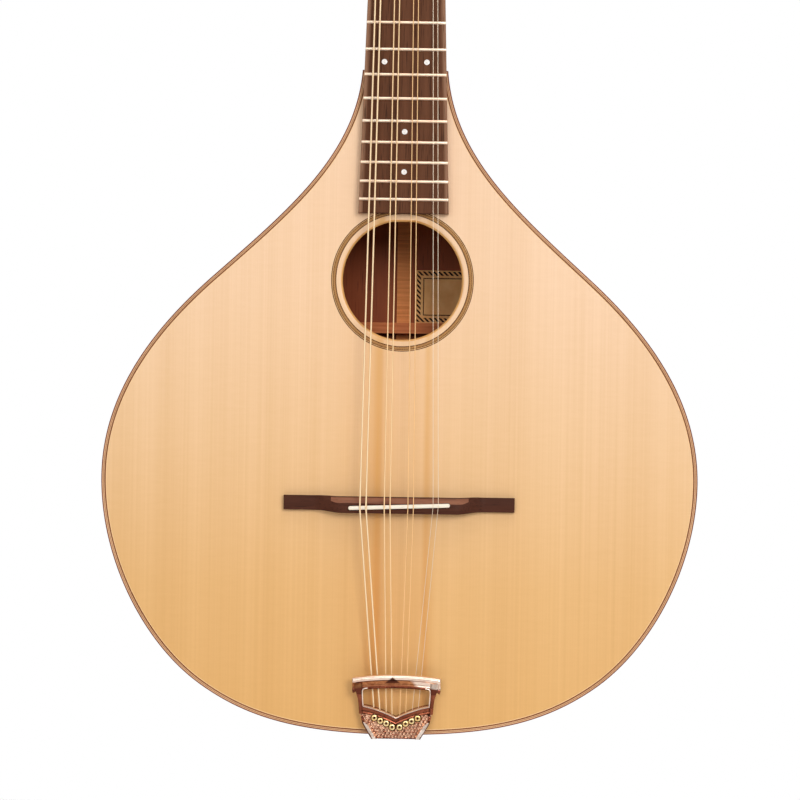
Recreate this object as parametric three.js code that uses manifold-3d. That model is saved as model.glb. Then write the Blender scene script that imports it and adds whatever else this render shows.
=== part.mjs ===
// A flat-top octave mandolin: wide teardrop body, round sound hole, floating bridge, cast tailpiece,
// four pairs of strings, and a leaning head with two strips of four open-geared tuners.
// Millimetres. +Z runs up the neck, +X to the player's treble side, +Y to the back of the body.
// The origin is on the centre line at the front of the nut, in the plane of the soundboard's face.

import * as THREE from 'three';
import { mergeVertices } from 'three/addons/utils/BufferGeometryUtils.js';
import Module from 'manifold-3d';

const wasm = await Module();
wasm.setup();

// ---------------------------------------------------------------- driving dimensions

const GAP = 0.3;                  // clearance kept between touching pieces

const SCALE_LENGTH = 530;         // nut to the 12-fret octave, doubled
const FRET_COUNT = 18;

const BODY_END = -261;            // flat end of the body under the heel
const BODY_DEPTH = 80;
const RIB_THICKNESS = 2.4;
const PLATE_THICKNESS = 2.8;      // soundboard and back
const BINDING_HEIGHT = 6;
const NECK_END_HALF_WIDTH = 26.8;  // half of the body's flat end
const TAIL_END = -677.2;
const LINING_WIDTH = 6;
const LINING_HEIGHT = 12;
const HOLE_CENTRE = -392.5;
const HOLE_RADIUS = 37.3;
const ROSETTE = { inner: 41.5, outer: 44.5, depth: 0.8 };
const NECK_BLOCK_LENGTH = 46;
const TAIL_BLOCK = { halfWidth: 35, thickness: 18 };
const TOP_BRACE = { places: { upper: -338, lower: -448 }, rise: 13, width: 8 };
const BACK_BRACE = { places: [-335, -420, -560], rise: 12, width: 7 };
const TONE_BAR = { x: 44, z: -542, length: 150, width: 7, tipRise: 3, rise: 11, splay: 0.16 };
const CENTRE_STRIP = { left: -3.5, right: 5.5, thickness: 1.7 };
const LABEL = { left: 9, right: 58, low: -416, high: -381, thickness: 0.3 };

const BOARD = { end: -351, nutHalfWidth: 17.75, endHalfWidth: 28.2, top: -7 };
const FRET = { halfWidth: 0.95, height: 1.1, bed: 0.4 };
const NUT = { length: 5, top: -9.5 };

const NECK_DEPTH = { nut: 14.5, heel: 17.5 };
const NECK_FULLNESS = 0.8;        // exponent of the neck's back curve
const HEEL_FULLNESS = 0.9;

// Half width and length of the heel at each depth behind the soundboard's plane.
const HEEL_ROWS = [
  { y: 3, halfWidth: 25.2, length: 66 },
  { y: 12, halfWidth: 25, length: 52 },
  { y: 20, halfWidth: 23, length: 36 },
  { y: 30, halfWidth: 19.5, length: 26 },
  { y: 45, halfWidth: 15.5, length: 20 },
  { y: 60, halfWidth: 13, length: 17 },
  { y: 76, halfWidth: 12, length: 15.5 },
];
const HEEL_CAP_THICKNESS = 3;

const HEAD_ANGLE = THREE.MathUtils.degToRad(13);
const HEAD_START = 6;             // z where the head's face leaves the neck's plane
const HEAD_LENGTH = 166;
const HEAD_BACK = 15.5;           // depth of the head's back behind its face
const HEAD_WIDTHS = { root: 17.6, shoulder: 34, top: 36.5 };   // half widths
const HEAD_ROWS = { root: 4, shoulder: 30, crown: 144 };       // where those widths are reached
const VENEER_THICKNESS = 2;
const ROD_COVER = { halfWidth: 8, low: 1.5, high: 30, front: -2.1 };
const TRUSS_ROD = { radius: 3, y: 8, low: -245, high: 9, nutHigh: 19, nutRadius: 4 };
const ROD_POCKET = { halfWidth: 5, low: 3, high: 22, back: 8 };

const POST_X = 22;
const POST_ROWS = [44, 70, 96, 122];
const POST_RADIUS = 3;
const POST_HEIGHT = 12.5;
const BORE_RADIUS = 3.6;
const STRIP = { inner: 14.2, outer: 29.8, thickness: 1.2, overhang: 13 };
const GEAR = { teeth: 14, tip: 5.5, root: 4.5, thickness: 3 };
const WORM = { radius: 3, halfLength: 4 };
const SHAFT_RADIUS = 1.6;
const FERRULE_RADIUS = 2.6;       // where the shaft enters the button
const LUG = { offset: 6.5, thickness: 1.6, halfWidth: 3.3, height: 7.8 };
const BUTTON = { start: 39, length: 15, halfWidth: 7, halfThickness: 4.2 };

const BRIDGE = { z: -532.3, halfLength: 72.1, wingHalfWidth: 4.5, centreShift: 0.9, centreHalfWidth: 5 };
const BRIDGE_HEIGHT = { wing: 4, centre: 10, bevel: 5 };
const BRIDGE_BEVEL_WIDTH = 3.6;
const BRIDGE_SWEEP = { centreEnd: 33, wingStart: 55 };   // x where the raised middle ends and the wings begin
const SADDLE = {
  z: -533.8, halfLength: 31.6, thickness: 2.4, slotFloor: -5, slant: THREE.MathUtils.degToRad(2.2),
};

const STRING_PLANE = { nut: -8.6, saddle: -12.5 };   // underside of the strings
const BALL = { radius: 1.87, bore: 0.9, length: 3.2, y: -4.6 };

// One pair of strings per row: gauge, then the pair's centre and half spacing at the nut and at the saddle.
const COURSES = [
  { gauge: 1.1, nut: -14.6, nutHalf: 1.45, saddle: -22.4, saddleHalf: 1.9 },
  { gauge: 0.8, nut: -4.9, nutHalf: 1.45, saddle: -7.4, saddleHalf: 1.8 },
  { gauge: 0.56, nut: 4.9, nutHalf: 1.4, saddle: 7.2, saddleHalf: 1.7 },
  { gauge: 0.34, nut: 14.6, nutHalf: 1.3, saddle: 22.7, saddleHalf: 1.6 },
];

// Ball ends of strings 4 down to 1, in x and z. Strings 5 to 8 mirror them.
const BALL_PLACES = [[-2.3, -671.3], [-6, -669], [-9.7, -667.4], [-13.5, -665.6]];

const TAIL = { plateBack: -1.5, plateFront: -6.2, lipFront: -8.2, lipWidth: 4.8, slotFloor: -1 };
const TAIL_ARM = { inner: 21, outer: 24 };
const TAIL_BAR = { halfLength: 27.4, top: -638.5, endDrop: 1.9, height: 8, back: -7.6, front: -11.4 };
const TAIL_FOOT = { halfWidth: 15, thickness: 1.1, depth: 24, screwX: 8, screwY: 13 };
const SCREW = { radius: 1.7, headRadius: 3.2, headHeight: 1.8, length: 18 };

// ---------------------------------------------------------------- solids

const WELD = 1e-4;

// A closed geometry as a solid that can be cut and joined.
function solid(geometry) {
  const bare = geometry.clone();
  for (const name of Object.keys(bare.attributes)) {
    if (name !== 'position') bare.deleteAttribute(name);
  }
  const merged = mergeVertices(bare, WELD);
  const vertProperties = Float32Array.from(merged.attributes.position.array);
  const triVerts = Uint32Array.from(merged.index.array);
  return new wasm.Manifold(new wasm.Mesh({ numProp: 3, vertProperties, triVerts }));
}

// The surface of a solid as a geometry.
function surface(body) {
  const mesh = body.getMesh();
  const geometry = new THREE.BufferGeometry();
  geometry.setAttribute('position', new THREE.BufferAttribute(mesh.vertProperties, 3));
  geometry.setIndex(new THREE.BufferAttribute(mesh.triVerts, 1));
  return geometry;
}

const joined = (...parts) => parts.map(solid).reduce((whole, part) => whole.add(part));
const cut = (body, ...tools) => tools.map(solid).reduce((rest, tool) => rest.subtract(tool), body);

function shapeOf(points) {
  return new THREE.Shape(points.map(([x, y]) => new THREE.Vector2(x, y)));
}

// A shape drawn in x and z, thickened from y = front to y = back.
function plate(shape, front, back) {
  const options = { depth: back - front, bevelEnabled: false, curveSegments: 12 };
  const geometry = new THREE.ExtrudeGeometry(shape, options);
  return geometry.rotateX(Math.PI / 2).translate(0, back, 0);
}

// A shape drawn in x and y, drawn out from z = low to z = high.
function bar(shape, low, high) {
  const options = { depth: high - low, bevelEnabled: false, curveSegments: 8 };
  const geometry = new THREE.ExtrudeGeometry(shape, options);
  return geometry.translate(0, 0, low);
}

// A shape drawn in y and z, drawn out from x = left to x = right.
function profile(shape, left, right) {
  const geometry = new THREE.ExtrudeGeometry(shape, { depth: right - left, bevelEnabled: false });
  const axes = [new THREE.Vector3(0, 1, 0), new THREE.Vector3(0, 0, 1), new THREE.Vector3(1, 0, 0)];
  return geometry.applyMatrix4(new THREE.Matrix4().makeBasis(...axes)).translate(left, 0, 0);
}

function block(x0, x1, y0, y1, z0, z1) {
  const geometry = new THREE.BoxGeometry(x1 - x0, y1 - y0, z1 - z0);
  return geometry.translate((x0 + x1) / 2, (y0 + y1) / 2, (z0 + z1) / 2);
}

// A round pin along y or z, from low to high.
function pinAlongY(radius, x, z, low, high, sides = 16) {
  return new THREE.CylinderGeometry(radius, radius, high - low, sides).translate(x, (low + high) / 2, z);
}

function pinAlongZ(radius, x, y, low, high, sides = 16) {
  const pin = new THREE.CylinderGeometry(radius, radius, high - low, sides).rotateX(Math.PI / 2);
  return pin.translate(x, y, (low + high) / 2);
}

// A skin stretched over rings: ring(row, k) gives the k-th of the ring's points, and both ends are closed.
function loft(rows, sides, ring) {
  const geometry = new THREE.CylinderGeometry(1, 1, 1, sides, rows - 1);
  const position = geometry.attributes.position;
  for (let i = 0; i < position.count; i += 1) {
    const row = Math.round((0.5 - position.getY(i)) * (rows - 1));
    const turn = Math.atan2(position.getX(i), position.getZ(i)) / (2 * Math.PI);
    const k = Math.round((turn < 0 ? turn + 1 : turn) * sides) % sides;
    const onAxis = Math.hypot(position.getX(i), position.getZ(i)) < 0.5;
    const point = onAxis ? centreOf(sides, (j) => ring(row, j)) : ring(row, k);
    position.setXYZ(i, point.x, point.y, point.z);
  }
  return geometry;
}

function centreOf(sides, pointAt) {
  const sum = new THREE.Vector3();
  for (let j = 0; j < sides; j += 1) sum.add(pointAt(j));
  return sum.divideScalar(sides);
}

// Half of a D-section: k runs over a curved side of `curved` steps, then back along the flat side.
function dSection(k, sides, curved, halfWidth, depth, fullness) {
  if (k <= curved) {
    const angle = (Math.PI * k) / curved;
    return [halfWidth * Math.cos(angle), depth * Math.sin(angle) ** fullness];
  }
  return [halfWidth * ((2 * (k - curved)) / (sides - curved) - 1), 0];
}

const lerp = THREE.MathUtils.lerp;

// ---------------------------------------------------------------- body outline

// The treble half of the rim, from the neck end to the middle of the tail, as cubic curves in x and z.
const RIM_CURVES = [
  [[NECK_END_HALF_WIDTH, BODY_END], [30.9, -314], [71.3, -348.6], [118.3, -391]],
  [[118.3, -391], [148.2, -418], [186.8, -460.5], [186.8, -517.5]],
  [[186.8, -517.5], [186.8, -568.3], [160.2, -620.3], [125.1, -645.9]],
  [[125.1, -645.9], [94.5, -668], [60.7, TAIL_END], [0, TAIL_END]],
].map((points) => new THREE.CubicBezierCurve(...points.map(([x, z]) => new THREE.Vector2(x, z))));
const RIM_STEPS = 7;

// Points of that half, moved inwards by inset. The first is the corner at the flat neck end.
function rim(inset) {
  const points = [];
  for (const curve of RIM_CURVES) {
    for (let i = 0; i < RIM_STEPS; i += 1) {
      const t = i / RIM_STEPS;
      const along = curve.getTangent(t);
      const point = curve.getPoint(t);
      points.push([point.x + along.y * inset, point.y - along.x * inset]);
    }
  }
  points[0] = [points[0][0], BODY_END - inset];
  points.push([0, TAIL_END + inset]);
  return points;
}

const mirrored = (points) => points.map(([x, z]) => [-x, z]).reverse();

function wholeRim(inset) {
  const half = rim(inset);
  return [...half, ...mirrored(half).slice(1)];
}

const rimShape = (inset) => shapeOf(wholeRim(inset));

// A closed band between two insets. The hole runs the other way round from the outline.
function rimBand(outer, inner) {
  const band = rimShape(outer);
  band.holes.push(shapeOf(wholeRim(inner).reverse()));
  return band;
}

// Half width of the body at z, at a given inset.
function halfWidthAt(z, inset) {
  const half = rim(inset);
  const i = half.findIndex((point, n) => n > 0 && point[1] <= z);
  const t = (z - half[i - 1][1]) / (half[i][1] - half[i - 1][1]);
  return lerp(half[i - 1][0], half[i][0], t);
}

const INSIDE = RIB_THICKNESS + GAP;            // inset of everything within the ribs
const BACK_FRONT = BODY_DEPTH - PLATE_THICKNESS;
const UNDER_TOP = PLATE_THICKNESS + GAP;
const OVER_BACK = BACK_FRONT - GAP;

// ---------------------------------------------------------------- body pieces

function soundboard() {
  const shape = rimShape(INSIDE);
  shape.holes.push(new THREE.Path().absarc(0, HOLE_CENTRE, HOLE_RADIUS, 0, 2 * Math.PI));
  const board = solid(plate(shape, 0, PLATE_THICKNESS));
  const channel = new THREE.Shape().absarc(0, HOLE_CENTRE, ROSETTE.outer + GAP, 0, 2 * Math.PI);
  channel.holes.push(new THREE.Path().absarc(0, HOLE_CENTRE, ROSETTE.inner - GAP, 0, 2 * Math.PI));
  return surface(cut(board, plate(channel, -1, ROSETTE.depth + GAP)));
}

function rosette() {
  const ring = new THREE.Shape().absarc(0, HOLE_CENTRE, ROSETTE.outer, 0, 2 * Math.PI);
  ring.holes.push(new THREE.Path().absarc(0, HOLE_CENTRE, ROSETTE.inner, 0, 2 * Math.PI));
  return plate(ring, 0, ROSETTE.depth);
}

// One bent side, from the seam under the heel round to the seam at the tail.
function rib(side) {
  const seam = GAP / 2;
  const edge = (inset) => {
    const half = rim(inset);
    half[half.length - 1] = [seam, TAIL_END + inset];
    return [[seam, BODY_END - inset], ...half];
  };
  const points = [...edge(0), ...edge(RIB_THICKNESS).reverse()].map(([x, z]) => [side * x, z]);
  const front = BINDING_HEIGHT + GAP;
  return surface(cut(solid(plate(shapeOf(points), front, BODY_DEPTH - front)), screwBore(side)));
}

function screwBore(side) {
  const { screwX, screwY } = TAIL_FOOT;
  return pinAlongZ(SCREW.radius + GAP, side * screwX, screwY, TAIL_END - 10, TAIL_END + SCREW.length + 1, 12);
}

function lining(side, front) {
  const near = rim(INSIDE);
  const far = rim(INSIDE + LINING_WIDTH);
  const kept = near.map((point, i) => i).filter((i) => (
    near[i][1] < BODY_END - INSIDE - NECK_BLOCK_LENGTH - GAP && far[i][0] > TAIL_BLOCK.halfWidth + GAP));
  const points = [...kept.map((i) => near[i]), ...kept.map((i) => far[i]).reverse()];
  return plate(shapeOf(points.map(([x, z]) => [side * x, z])), front, front + LINING_HEIGHT);
}

function neckBlock() {
  const halfWidth = NECK_END_HALF_WIDTH - INSIDE;
  const top = BODY_END - INSIDE;
  return block(-halfWidth, halfWidth, UNDER_TOP, OVER_BACK, top - NECK_BLOCK_LENGTH, top);
}

function tailBlock() {
  const half = rim(INSIDE).filter(([x, z]) => x < TAIL_BLOCK.halfWidth && z < BRIDGE.z);
  const inner = TAIL_END + INSIDE + TAIL_BLOCK.thickness;
  const [x, z] = half[0];
  const points = [[x, inner], [x, z], ...half.slice(1), ...mirrored(half).slice(1), [-x, inner]];
  const body = solid(plate(shapeOf(points), UNDER_TOP, OVER_BACK));
  return surface(cut(body, screwBore(1), screwBore(-1)));
}

// A brace glued across a plate and thinned towards its ends. It stands on y = foot and rises by rise.
function crossBrace(z, foot, rise, width, notch) {
  const reach = halfWidthAt(z, INSIDE + LINING_WIDTH + 1) - 2;
  const tip = foot + 0.3 * rise;
  const crown = foot + rise;
  const points = [[-reach, foot], [-reach, tip], [-0.75 * reach, crown], [0.75 * reach, crown], [reach, tip]];
  points.push([reach, foot]);
  if (notch) {
    points.push([notch.right, foot], [notch.right, notch.y], [notch.left, notch.y], [notch.left, foot]);
  }
  return bar(shapeOf(points), z - width / 2, z + width / 2);
}

// A long bar under the treble or bass side of the soundboard, splayed a little towards the tail.
function toneBar(side) {
  const { length, width, tipRise, rise, splay } = TONE_BAR;
  const half = [[0, length / 2], [tipRise, length / 2], [rise, length / 3]];
  const points = [...half, ...half.map(([y, z]) => [y, -z]).reverse()].reverse();
  const geometry = profile(shapeOf(points), -width / 2, width / 2);
  return geometry.rotateY(side * -splay).translate(side * TONE_BAR.x, UNDER_TOP, TONE_BAR.z);
}

function centreStrip() {
  const top = BODY_END - INSIDE - NECK_BLOCK_LENGTH - GAP;
  const bottom = TAIL_END + INSIDE + TAIL_BLOCK.thickness + GAP;
  const { left, right, thickness } = CENTRE_STRIP;
  return block(left, right, OVER_BACK - thickness, OVER_BACK, bottom, top);
}

// ---------------------------------------------------------------- neck, heel and fingerboard

const boardHalfWidth = (z) => lerp(BOARD.nutHalfWidth, BOARD.endHalfWidth, z / BOARD.end);
const fretAt = (n) => -SCALE_LENGTH * (1 - 2 ** (-n / 12));

function fingerboard() {
  const { nutHalfWidth, endHalfWidth, end, top } = BOARD;
  const outline = shapeOf([[-nutHalfWidth, 0], [-endHalfWidth, end], [endHalfWidth, end], [nutHalfWidth, 0]]);
  const { height, bed } = FRET;
  const crown = [[bed, -1], [-0.3, -1], [-0.85, -0.65], [-height, 0], [-0.85, 0.65], [-0.3, 1], [bed, 1]];
  let board = solid(plate(outline, top, -GAP));
  for (let n = 1; n <= FRET_COUNT; n += 1) {
    const z = fretAt(n);
    const reach = boardHalfWidth(z) - 0.3;
    const points = crown.map(([y, w]) => [top + y, z + w * FRET.halfWidth]);
    board = board.add(solid(profile(shapeOf(points), -reach, reach)));
  }
  return surface(board);
}

function nut() {
  const body = solid(block(-BOARD.nutHalfWidth, BOARD.nutHalfWidth, NUT.top, -GAP, GAP, GAP + NUT.length));
  const slots = strings().map(({ nutX, gauge }) => {
    const half = gauge / 2 + GAP;
    return block(nutX - half, nutX + half, NUT.top - 1, STRING_PLANE.nut + GAP, -1, NUT.length + 2);
  });
  return surface(cut(body, ...slots));
}

const HEAD_FRAME = new THREE.Matrix4().makeRotationX(-HEAD_ANGLE).setPosition(0, 0, HEAD_START);

// The head's outline in its own plane, from w = low up to its arched top.
function headShape(low) {
  const { root, shoulder, top } = HEAD_WIDTHS;
  const rows = HEAD_ROWS;
  const high = HEAD_LENGTH;
  const shape = new THREE.Shape().moveTo(root, low);
  shape.lineTo(root, rows.root);
  shape.bezierCurveTo(root, rows.root + 12, shoulder - 1, 14, shoulder, rows.shoulder);
  shape.lineTo(top, rows.crown);
  shape.bezierCurveTo(top + 0.3, high - 8, 24, high - 4, 0, high);
  shape.bezierCurveTo(-24, high - 4, -top - 0.3, high - 8, -top, rows.crown);
  shape.lineTo(-shoulder, rows.shoulder);
  shape.bezierCurveTo(1 - shoulder, 14, -root, rows.root + 12, -root, rows.root);
  shape.lineTo(-root, low);
  return shape;
}

const postBores = () => posts().map(({ x, w }) => pinAlongY(BORE_RADIUS, x, w, -5, HEAD_BACK + 5, 10));
const rodPocket = () => block(
  -ROD_POCKET.halfWidth, ROD_POCKET.halfWidth, -5, ROD_POCKET.back, ROD_POCKET.low, ROD_POCKET.high);

function neck() {
  const sides = 24;
  const curved = 16;
  const shaft = loft(7, sides, (row, k) => {
    const z = lerp(HEAD_START - GAP, BODY_END + GAP, row / 6);
    const depth = lerp(NECK_DEPTH.nut, NECK_DEPTH.heel, row / 6);
    const halfWidth = boardHalfWidth(Math.min(z, 0)) - 0.1;
    const [x, y] = dSection(k, sides, curved, halfWidth, depth, NECK_FULLNESS);
    return new THREE.Vector3(x, y, z);
  });
  const heel = loft(HEEL_ROWS.length, sides, (row, k) => {
    const { y, halfWidth, length } = HEEL_ROWS[row];
    const [x, z] = dSection(k, sides, curved, halfWidth, length, HEEL_FULLNESS);
    return new THREE.Vector3(x, y, BODY_END + GAP + z);
  });
  const head = solid(plate(headShape(-8), VENEER_THICKNESS + GAP, HEAD_BACK));
  const bored = solid(surface(cut(head, ...postBores(), rodPocket())).applyMatrix4(HEAD_FRAME));
  const rodReach = TRUSS_ROD.radius + GAP;
  const channel = block(-rodReach, rodReach, -1, TRUSS_ROD.y + rodReach, TRUSS_ROD.low - GAP, HEAD_START);
  const nutWell = pinAlongZ(TRUSS_ROD.nutRadius + GAP, 0, TRUSS_ROD.y, HEAD_START - 3, TRUSS_ROD.nutHigh + 1);
  return surface(cut(joined(shaft, heel).add(bored), channel, nutWell));
}

function heelCap() {
  const sides = 24;
  const foot = HEEL_ROWS[HEEL_ROWS.length - 1];
  return loft(2, sides, (row, k) => {
    const [x, z] = dSection(k, sides, 16, foot.halfWidth, foot.length, HEEL_FULLNESS);
    return new THREE.Vector3(x, foot.y + GAP + row * HEEL_CAP_THICKNESS, BODY_END + GAP + z);
  });
}

// The rod lies in the neck's channel; its hexagonal adjusting nut sits in the head's pocket.
function trussRod() {
  const rod = pinAlongZ(TRUSS_ROD.radius, 0, TRUSS_ROD.y, TRUSS_ROD.low, TRUSS_ROD.high, 12);
  const nutBody = pinAlongZ(TRUSS_ROD.nutRadius, 0, TRUSS_ROD.y, TRUSS_ROD.high - 1, TRUSS_ROD.nutHigh, 6);
  return surface(joined(rod, nutBody));
}

function headVeneer() {
  return surface(cut(solid(plate(headShape(GAP * 2), 0, VENEER_THICKNESS)), ...postBores(), rodPocket()));
}

function rodCover() {
  const { halfWidth, low, high, front } = ROD_COVER;
  const shape = new THREE.Shape().moveTo(-halfWidth, low);
  shape.lineTo(halfWidth, low);
  shape.bezierCurveTo(halfWidth, high / 2 - 1, halfWidth / 2, high - 10, 0, high);
  shape.bezierCurveTo(-halfWidth / 2, high - 10, -halfWidth, high / 2 - 1, -halfWidth, low);
  return plate(shape, front, -GAP);
}

// ---------------------------------------------------------------- tuners, in the head's own frame

// Every string post: side -1 is the bass row, and row 0 is the one nearest the nut.
function posts() {
  return [-1, 1].flatMap((side) => POST_ROWS.map((w, row) => ({ side, row, x: side * POST_X, w })));
}

const STRIP_FRONT = HEAD_BACK + GAP;
const STRIP_BACK = STRIP_FRONT + STRIP.thickness;
const WORM_Y = STRIP_BACK + WORM.radius + GAP;
const GEAR_FRONT = WORM_Y - GEAR.thickness / 2;
const WORM_DROP = GEAR.tip + WORM.radius + GAP;   // the worm's axis lies this far towards the nut

function tunerStrip(side) {
  const low = POST_ROWS[0] - STRIP.overhang - 3;
  const high = POST_ROWS[POST_ROWS.length - 1] + STRIP.overhang;
  let strip = solid(block(STRIP.inner, STRIP.outer, STRIP_FRONT, STRIP_BACK, low, high));
  for (const w of POST_ROWS) {
    for (const end of [-1, 1]) {
      const x = POST_X + end * LUG.offset;
      const half = LUG.thickness / 2;
      const z = w - WORM_DROP;
      strip = strip.add(solid(block(
        x - half, x + half, STRIP_FRONT, STRIP_FRONT + LUG.height, z - LUG.halfWidth, z + LUG.halfWidth)));
    }
    const boreRadius = SHAFT_RADIUS + GAP;
    const bore = new THREE.CylinderGeometry(boreRadius, boreRadius, 30, 8).rotateZ(Math.PI / 2);
    bore.translate(POST_X, WORM_Y, w - WORM_DROP);
    strip = cut(strip, bore, pinAlongY(BORE_RADIUS, POST_X, w, 0, 40, 10));
  }
  return side > 0 ? surface(strip) : mirrorX(strip);
}

// The same solid on the bass side.
function mirrorX(body) {
  const geometry = surface(body);
  geometry.scale(-1, 1, 1);
  const index = geometry.index.array;
  for (let i = 0; i < index.length; i += 3) [index[i], index[i + 1]] = [index[i + 1], index[i]];
  return geometry;
}

// A string post with the gear that is fixed on its lower end, about the post's own axis.
function postAndGear() {
  const points = [];
  for (let tooth = 0; tooth < GEAR.teeth; tooth += 1) {
    for (const [share, radius] of [[0, GEAR.root], [0.3, GEAR.root], [0.45, GEAR.tip], [0.85, GEAR.tip]]) {
      const angle = (2 * Math.PI * (tooth + share)) / GEAR.teeth;
      points.push([radius * Math.cos(angle), radius * Math.sin(angle)]);
    }
  }
  const gear = plate(shapeOf(points), GEAR_FRONT, GEAR_FRONT + GEAR.thickness);
  const post = [[0, -POST_HEIGHT], [POST_RADIUS - 0.6, -POST_HEIGHT], [POST_RADIUS, -POST_HEIGHT + 0.8],
    [POST_RADIUS, GEAR_FRONT + 0.5], [0, GEAR_FRONT + 0.5]];
  return surface(joined(gear, turned(post, 10)));
}

// A profile of radius and y, turned about the y axis.
function turned(points, sides) {
  return new THREE.LatheGeometry(points.map(([r, y]) => new THREE.Vector2(r, y)), sides);
}

// A flat ring about the y axis.
function ring(inner, outer, low, high, sides) {
  return turned([[inner, low], [outer, low], [outer, high], [inner, high], [inner, low]], sides);
}

// The button, its shaft and the worm, about the shaft's axis, which runs along x from the worm's middle.
function buttonAndWorm(side) {
  const inner = LUG.offset + LUG.thickness / 2 + 1;
  const start = BUTTON.start - POST_X;
  const { radius, halfLength } = WORM;
  const points = [[0, -inner], [SHAFT_RADIUS, -inner], [SHAFT_RADIUS, -halfLength], [radius, -halfLength],
    [radius, halfLength], [SHAFT_RADIUS, halfLength], [SHAFT_RADIUS, start - 3],
    [FERRULE_RADIUS, start - 2], [FERRULE_RADIUS, start + 2], [0, start + 2]];
  const shaft = turned(points, 8).rotateZ(-Math.PI / 2);
  const knob = new THREE.SphereGeometry(1, 10, 6).rotateZ(Math.PI / 2);
  knob.scale(BUTTON.length / 2, BUTTON.halfThickness, BUTTON.halfWidth);
  knob.translate(start + BUTTON.length / 2, 0, 0);
  const whole = joined(shaft, knob);
  return side > 0 ? surface(whole) : mirrorX(whole);
}

// ---------------------------------------------------------------- bridge, saddle and tailpiece

function bridge() {
  const { halfLength, wingHalfWidth, centreShift, centreHalfWidth, z } = BRIDGE;
  const { wing, centre } = BRIDGE_HEIGHT;
  const { centreEnd, wingStart } = BRIDGE_SWEEP;
  const elevation = new THREE.Shape().moveTo(-halfLength, -GAP);
  elevation.lineTo(-halfLength, -wing);
  elevation.lineTo(-wingStart, -wing);
  elevation.bezierCurveTo(9 - wingStart, -wing, -centreEnd - 9, -centre, -centreEnd, -centre);
  elevation.lineTo(centreEnd, -centre);
  elevation.bezierCurveTo(centreEnd + 9, -centre, wingStart - 9, -wing, wingStart, -wing);
  elevation.lineTo(halfLength, -wing);
  elevation.lineTo(halfLength, -GAP);
  const neckEdge = z - centreShift + centreHalfWidth;
  const tailEdge = z - centreShift - centreHalfWidth;
  const trebleEdge = [
    [34, neckEdge], [40, z + wingHalfWidth], [halfLength, z + wingHalfWidth],
    [halfLength, z - wingHalfWidth], [54, z - wingHalfWidth], [36, tailEdge]];
  const plan = shapeOf([...trebleEdge, ...mirrored(trebleEdge)]);
  const bevelFoot = -BRIDGE_HEIGHT.bevel;
  const bevelTop = -centre - 1;
  const bevel = shapeOf([[bevelTop, neckEdge - BRIDGE_BEVEL_WIDTH], [bevelTop, neckEdge + 2],
    [bevelFoot, neckEdge + 2], [bevelFoot, neckEdge]]);
  const body = solid(bar(elevation, z - 12, z + 12)).intersect(solid(plate(plan, -20, 5)));
  const slot = saddleBlock(GAP, -20, SADDLE.slotFloor);
  return surface(cut(body, profile(bevel, -60, 60), slot));
}

// The saddle's block, or with a margin the slot it stands in, set at a slant across the bridge.
function saddleBlock(margin, top, bottom) {
  const half = SADDLE.thickness / 2 + margin;
  const reach = SADDLE.halfLength - SADDLE.thickness / 2;
  const shape = new THREE.Shape().absarc(reach, 0, half, -Math.PI / 2, Math.PI / 2);
  shape.absarc(-reach, 0, half, Math.PI / 2, (3 * Math.PI) / 2);
  return plate(shape, top, bottom).rotateY(-SADDLE.slant).translate(0, 0, SADDLE.z);
}

const saddle = () => saddleBlock(0, STRING_PLANE.saddle + GAP, SADDLE.slotFloor - GAP);

// Upper edge of the tailpiece's lower plate: two convex sweeps that meet in a V, moved down by drop.
function lipEdge(drop) {
  const corners = [[TAIL_ARM.inner, -657.7], [TAIL_ARM.inner / 2, -658.6], [0, -664.9]];
  const right = new THREE.QuadraticBezierCurve(...corners.map(([x, z]) => new THREE.Vector2(x, z - drop)));
  const points = right.getPoints(6).map((point) => [point.x, point.y]);
  return [...points, ...mirrored(points).slice(1)];
}

function tailpiece() {
  const { plateBack, plateFront, lipFront } = TAIL;
  const foot = TAIL_END - GAP - TAIL_FOOT.thickness;
  const bassEdge = [[-24, -656], [-22.5, -661.5], [-20.9, -669], [-TAIL_FOOT.halfWidth, foot]];
  const outline = [...lipEdge(0), ...bassEdge, ...mirrored(bassEdge)];
  const lower = solid(plate(shapeOf(outline), plateFront, plateBack));
  const lipBand = shapeOf([...lipEdge(0), ...lipEdge(TAIL.lipWidth).reverse()]);
  const lip = solid(plate(lipBand, lipFront, plateBack));
  const { halfLength, top, endDrop, height, front, back } = TAIL_BAR;
  const arch = new THREE.Shape().moveTo(-halfLength, top - endDrop);
  arch.quadraticCurveTo(0, top + endDrop, halfLength, top - endDrop);
  arch.lineTo(halfLength - 1, top - endDrop - height);
  arch.quadraticCurveTo(0, top + endDrop - height, 1 - halfLength, top - endDrop - height);
  let body = lower.add(lip).add(solid(plate(arch, front, back)));
  const arm = shapeOf([[plateBack, -663], [lipFront, -663], [lipFront - 0.6, -655], [front + 0.4, -646],
    [front + 0.4, -643], [back, -643], [back, -646], [plateBack, -656]]);
  body = body.add(solid(profile(arm, TAIL_ARM.inner, TAIL_ARM.outer)));
  body = body.add(solid(profile(arm, -TAIL_ARM.outer, -TAIL_ARM.inner)));
  const { halfWidth, depth, thickness } = TAIL_FOOT;
  body = body.add(solid(block(-halfWidth, halfWidth, plateFront, depth, foot, foot + thickness)));
  const tools = [screwBore(1), screwBore(-1)];
  for (const { ballX, ballZ, gauge } of strings()) {
    const half = gauge / 2 + 0.7;
    tools.push(pinAlongY(BALL.radius + GAP, ballX, ballZ, -9, BALL.y + BALL.length / 2 + GAP, 12));
    tools.push(block(ballX - half, ballX + half, plateFront, TAIL.slotFloor, ballZ, ballZ + 16));
  }
  return surface(cut(body, ...tools));
}

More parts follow.
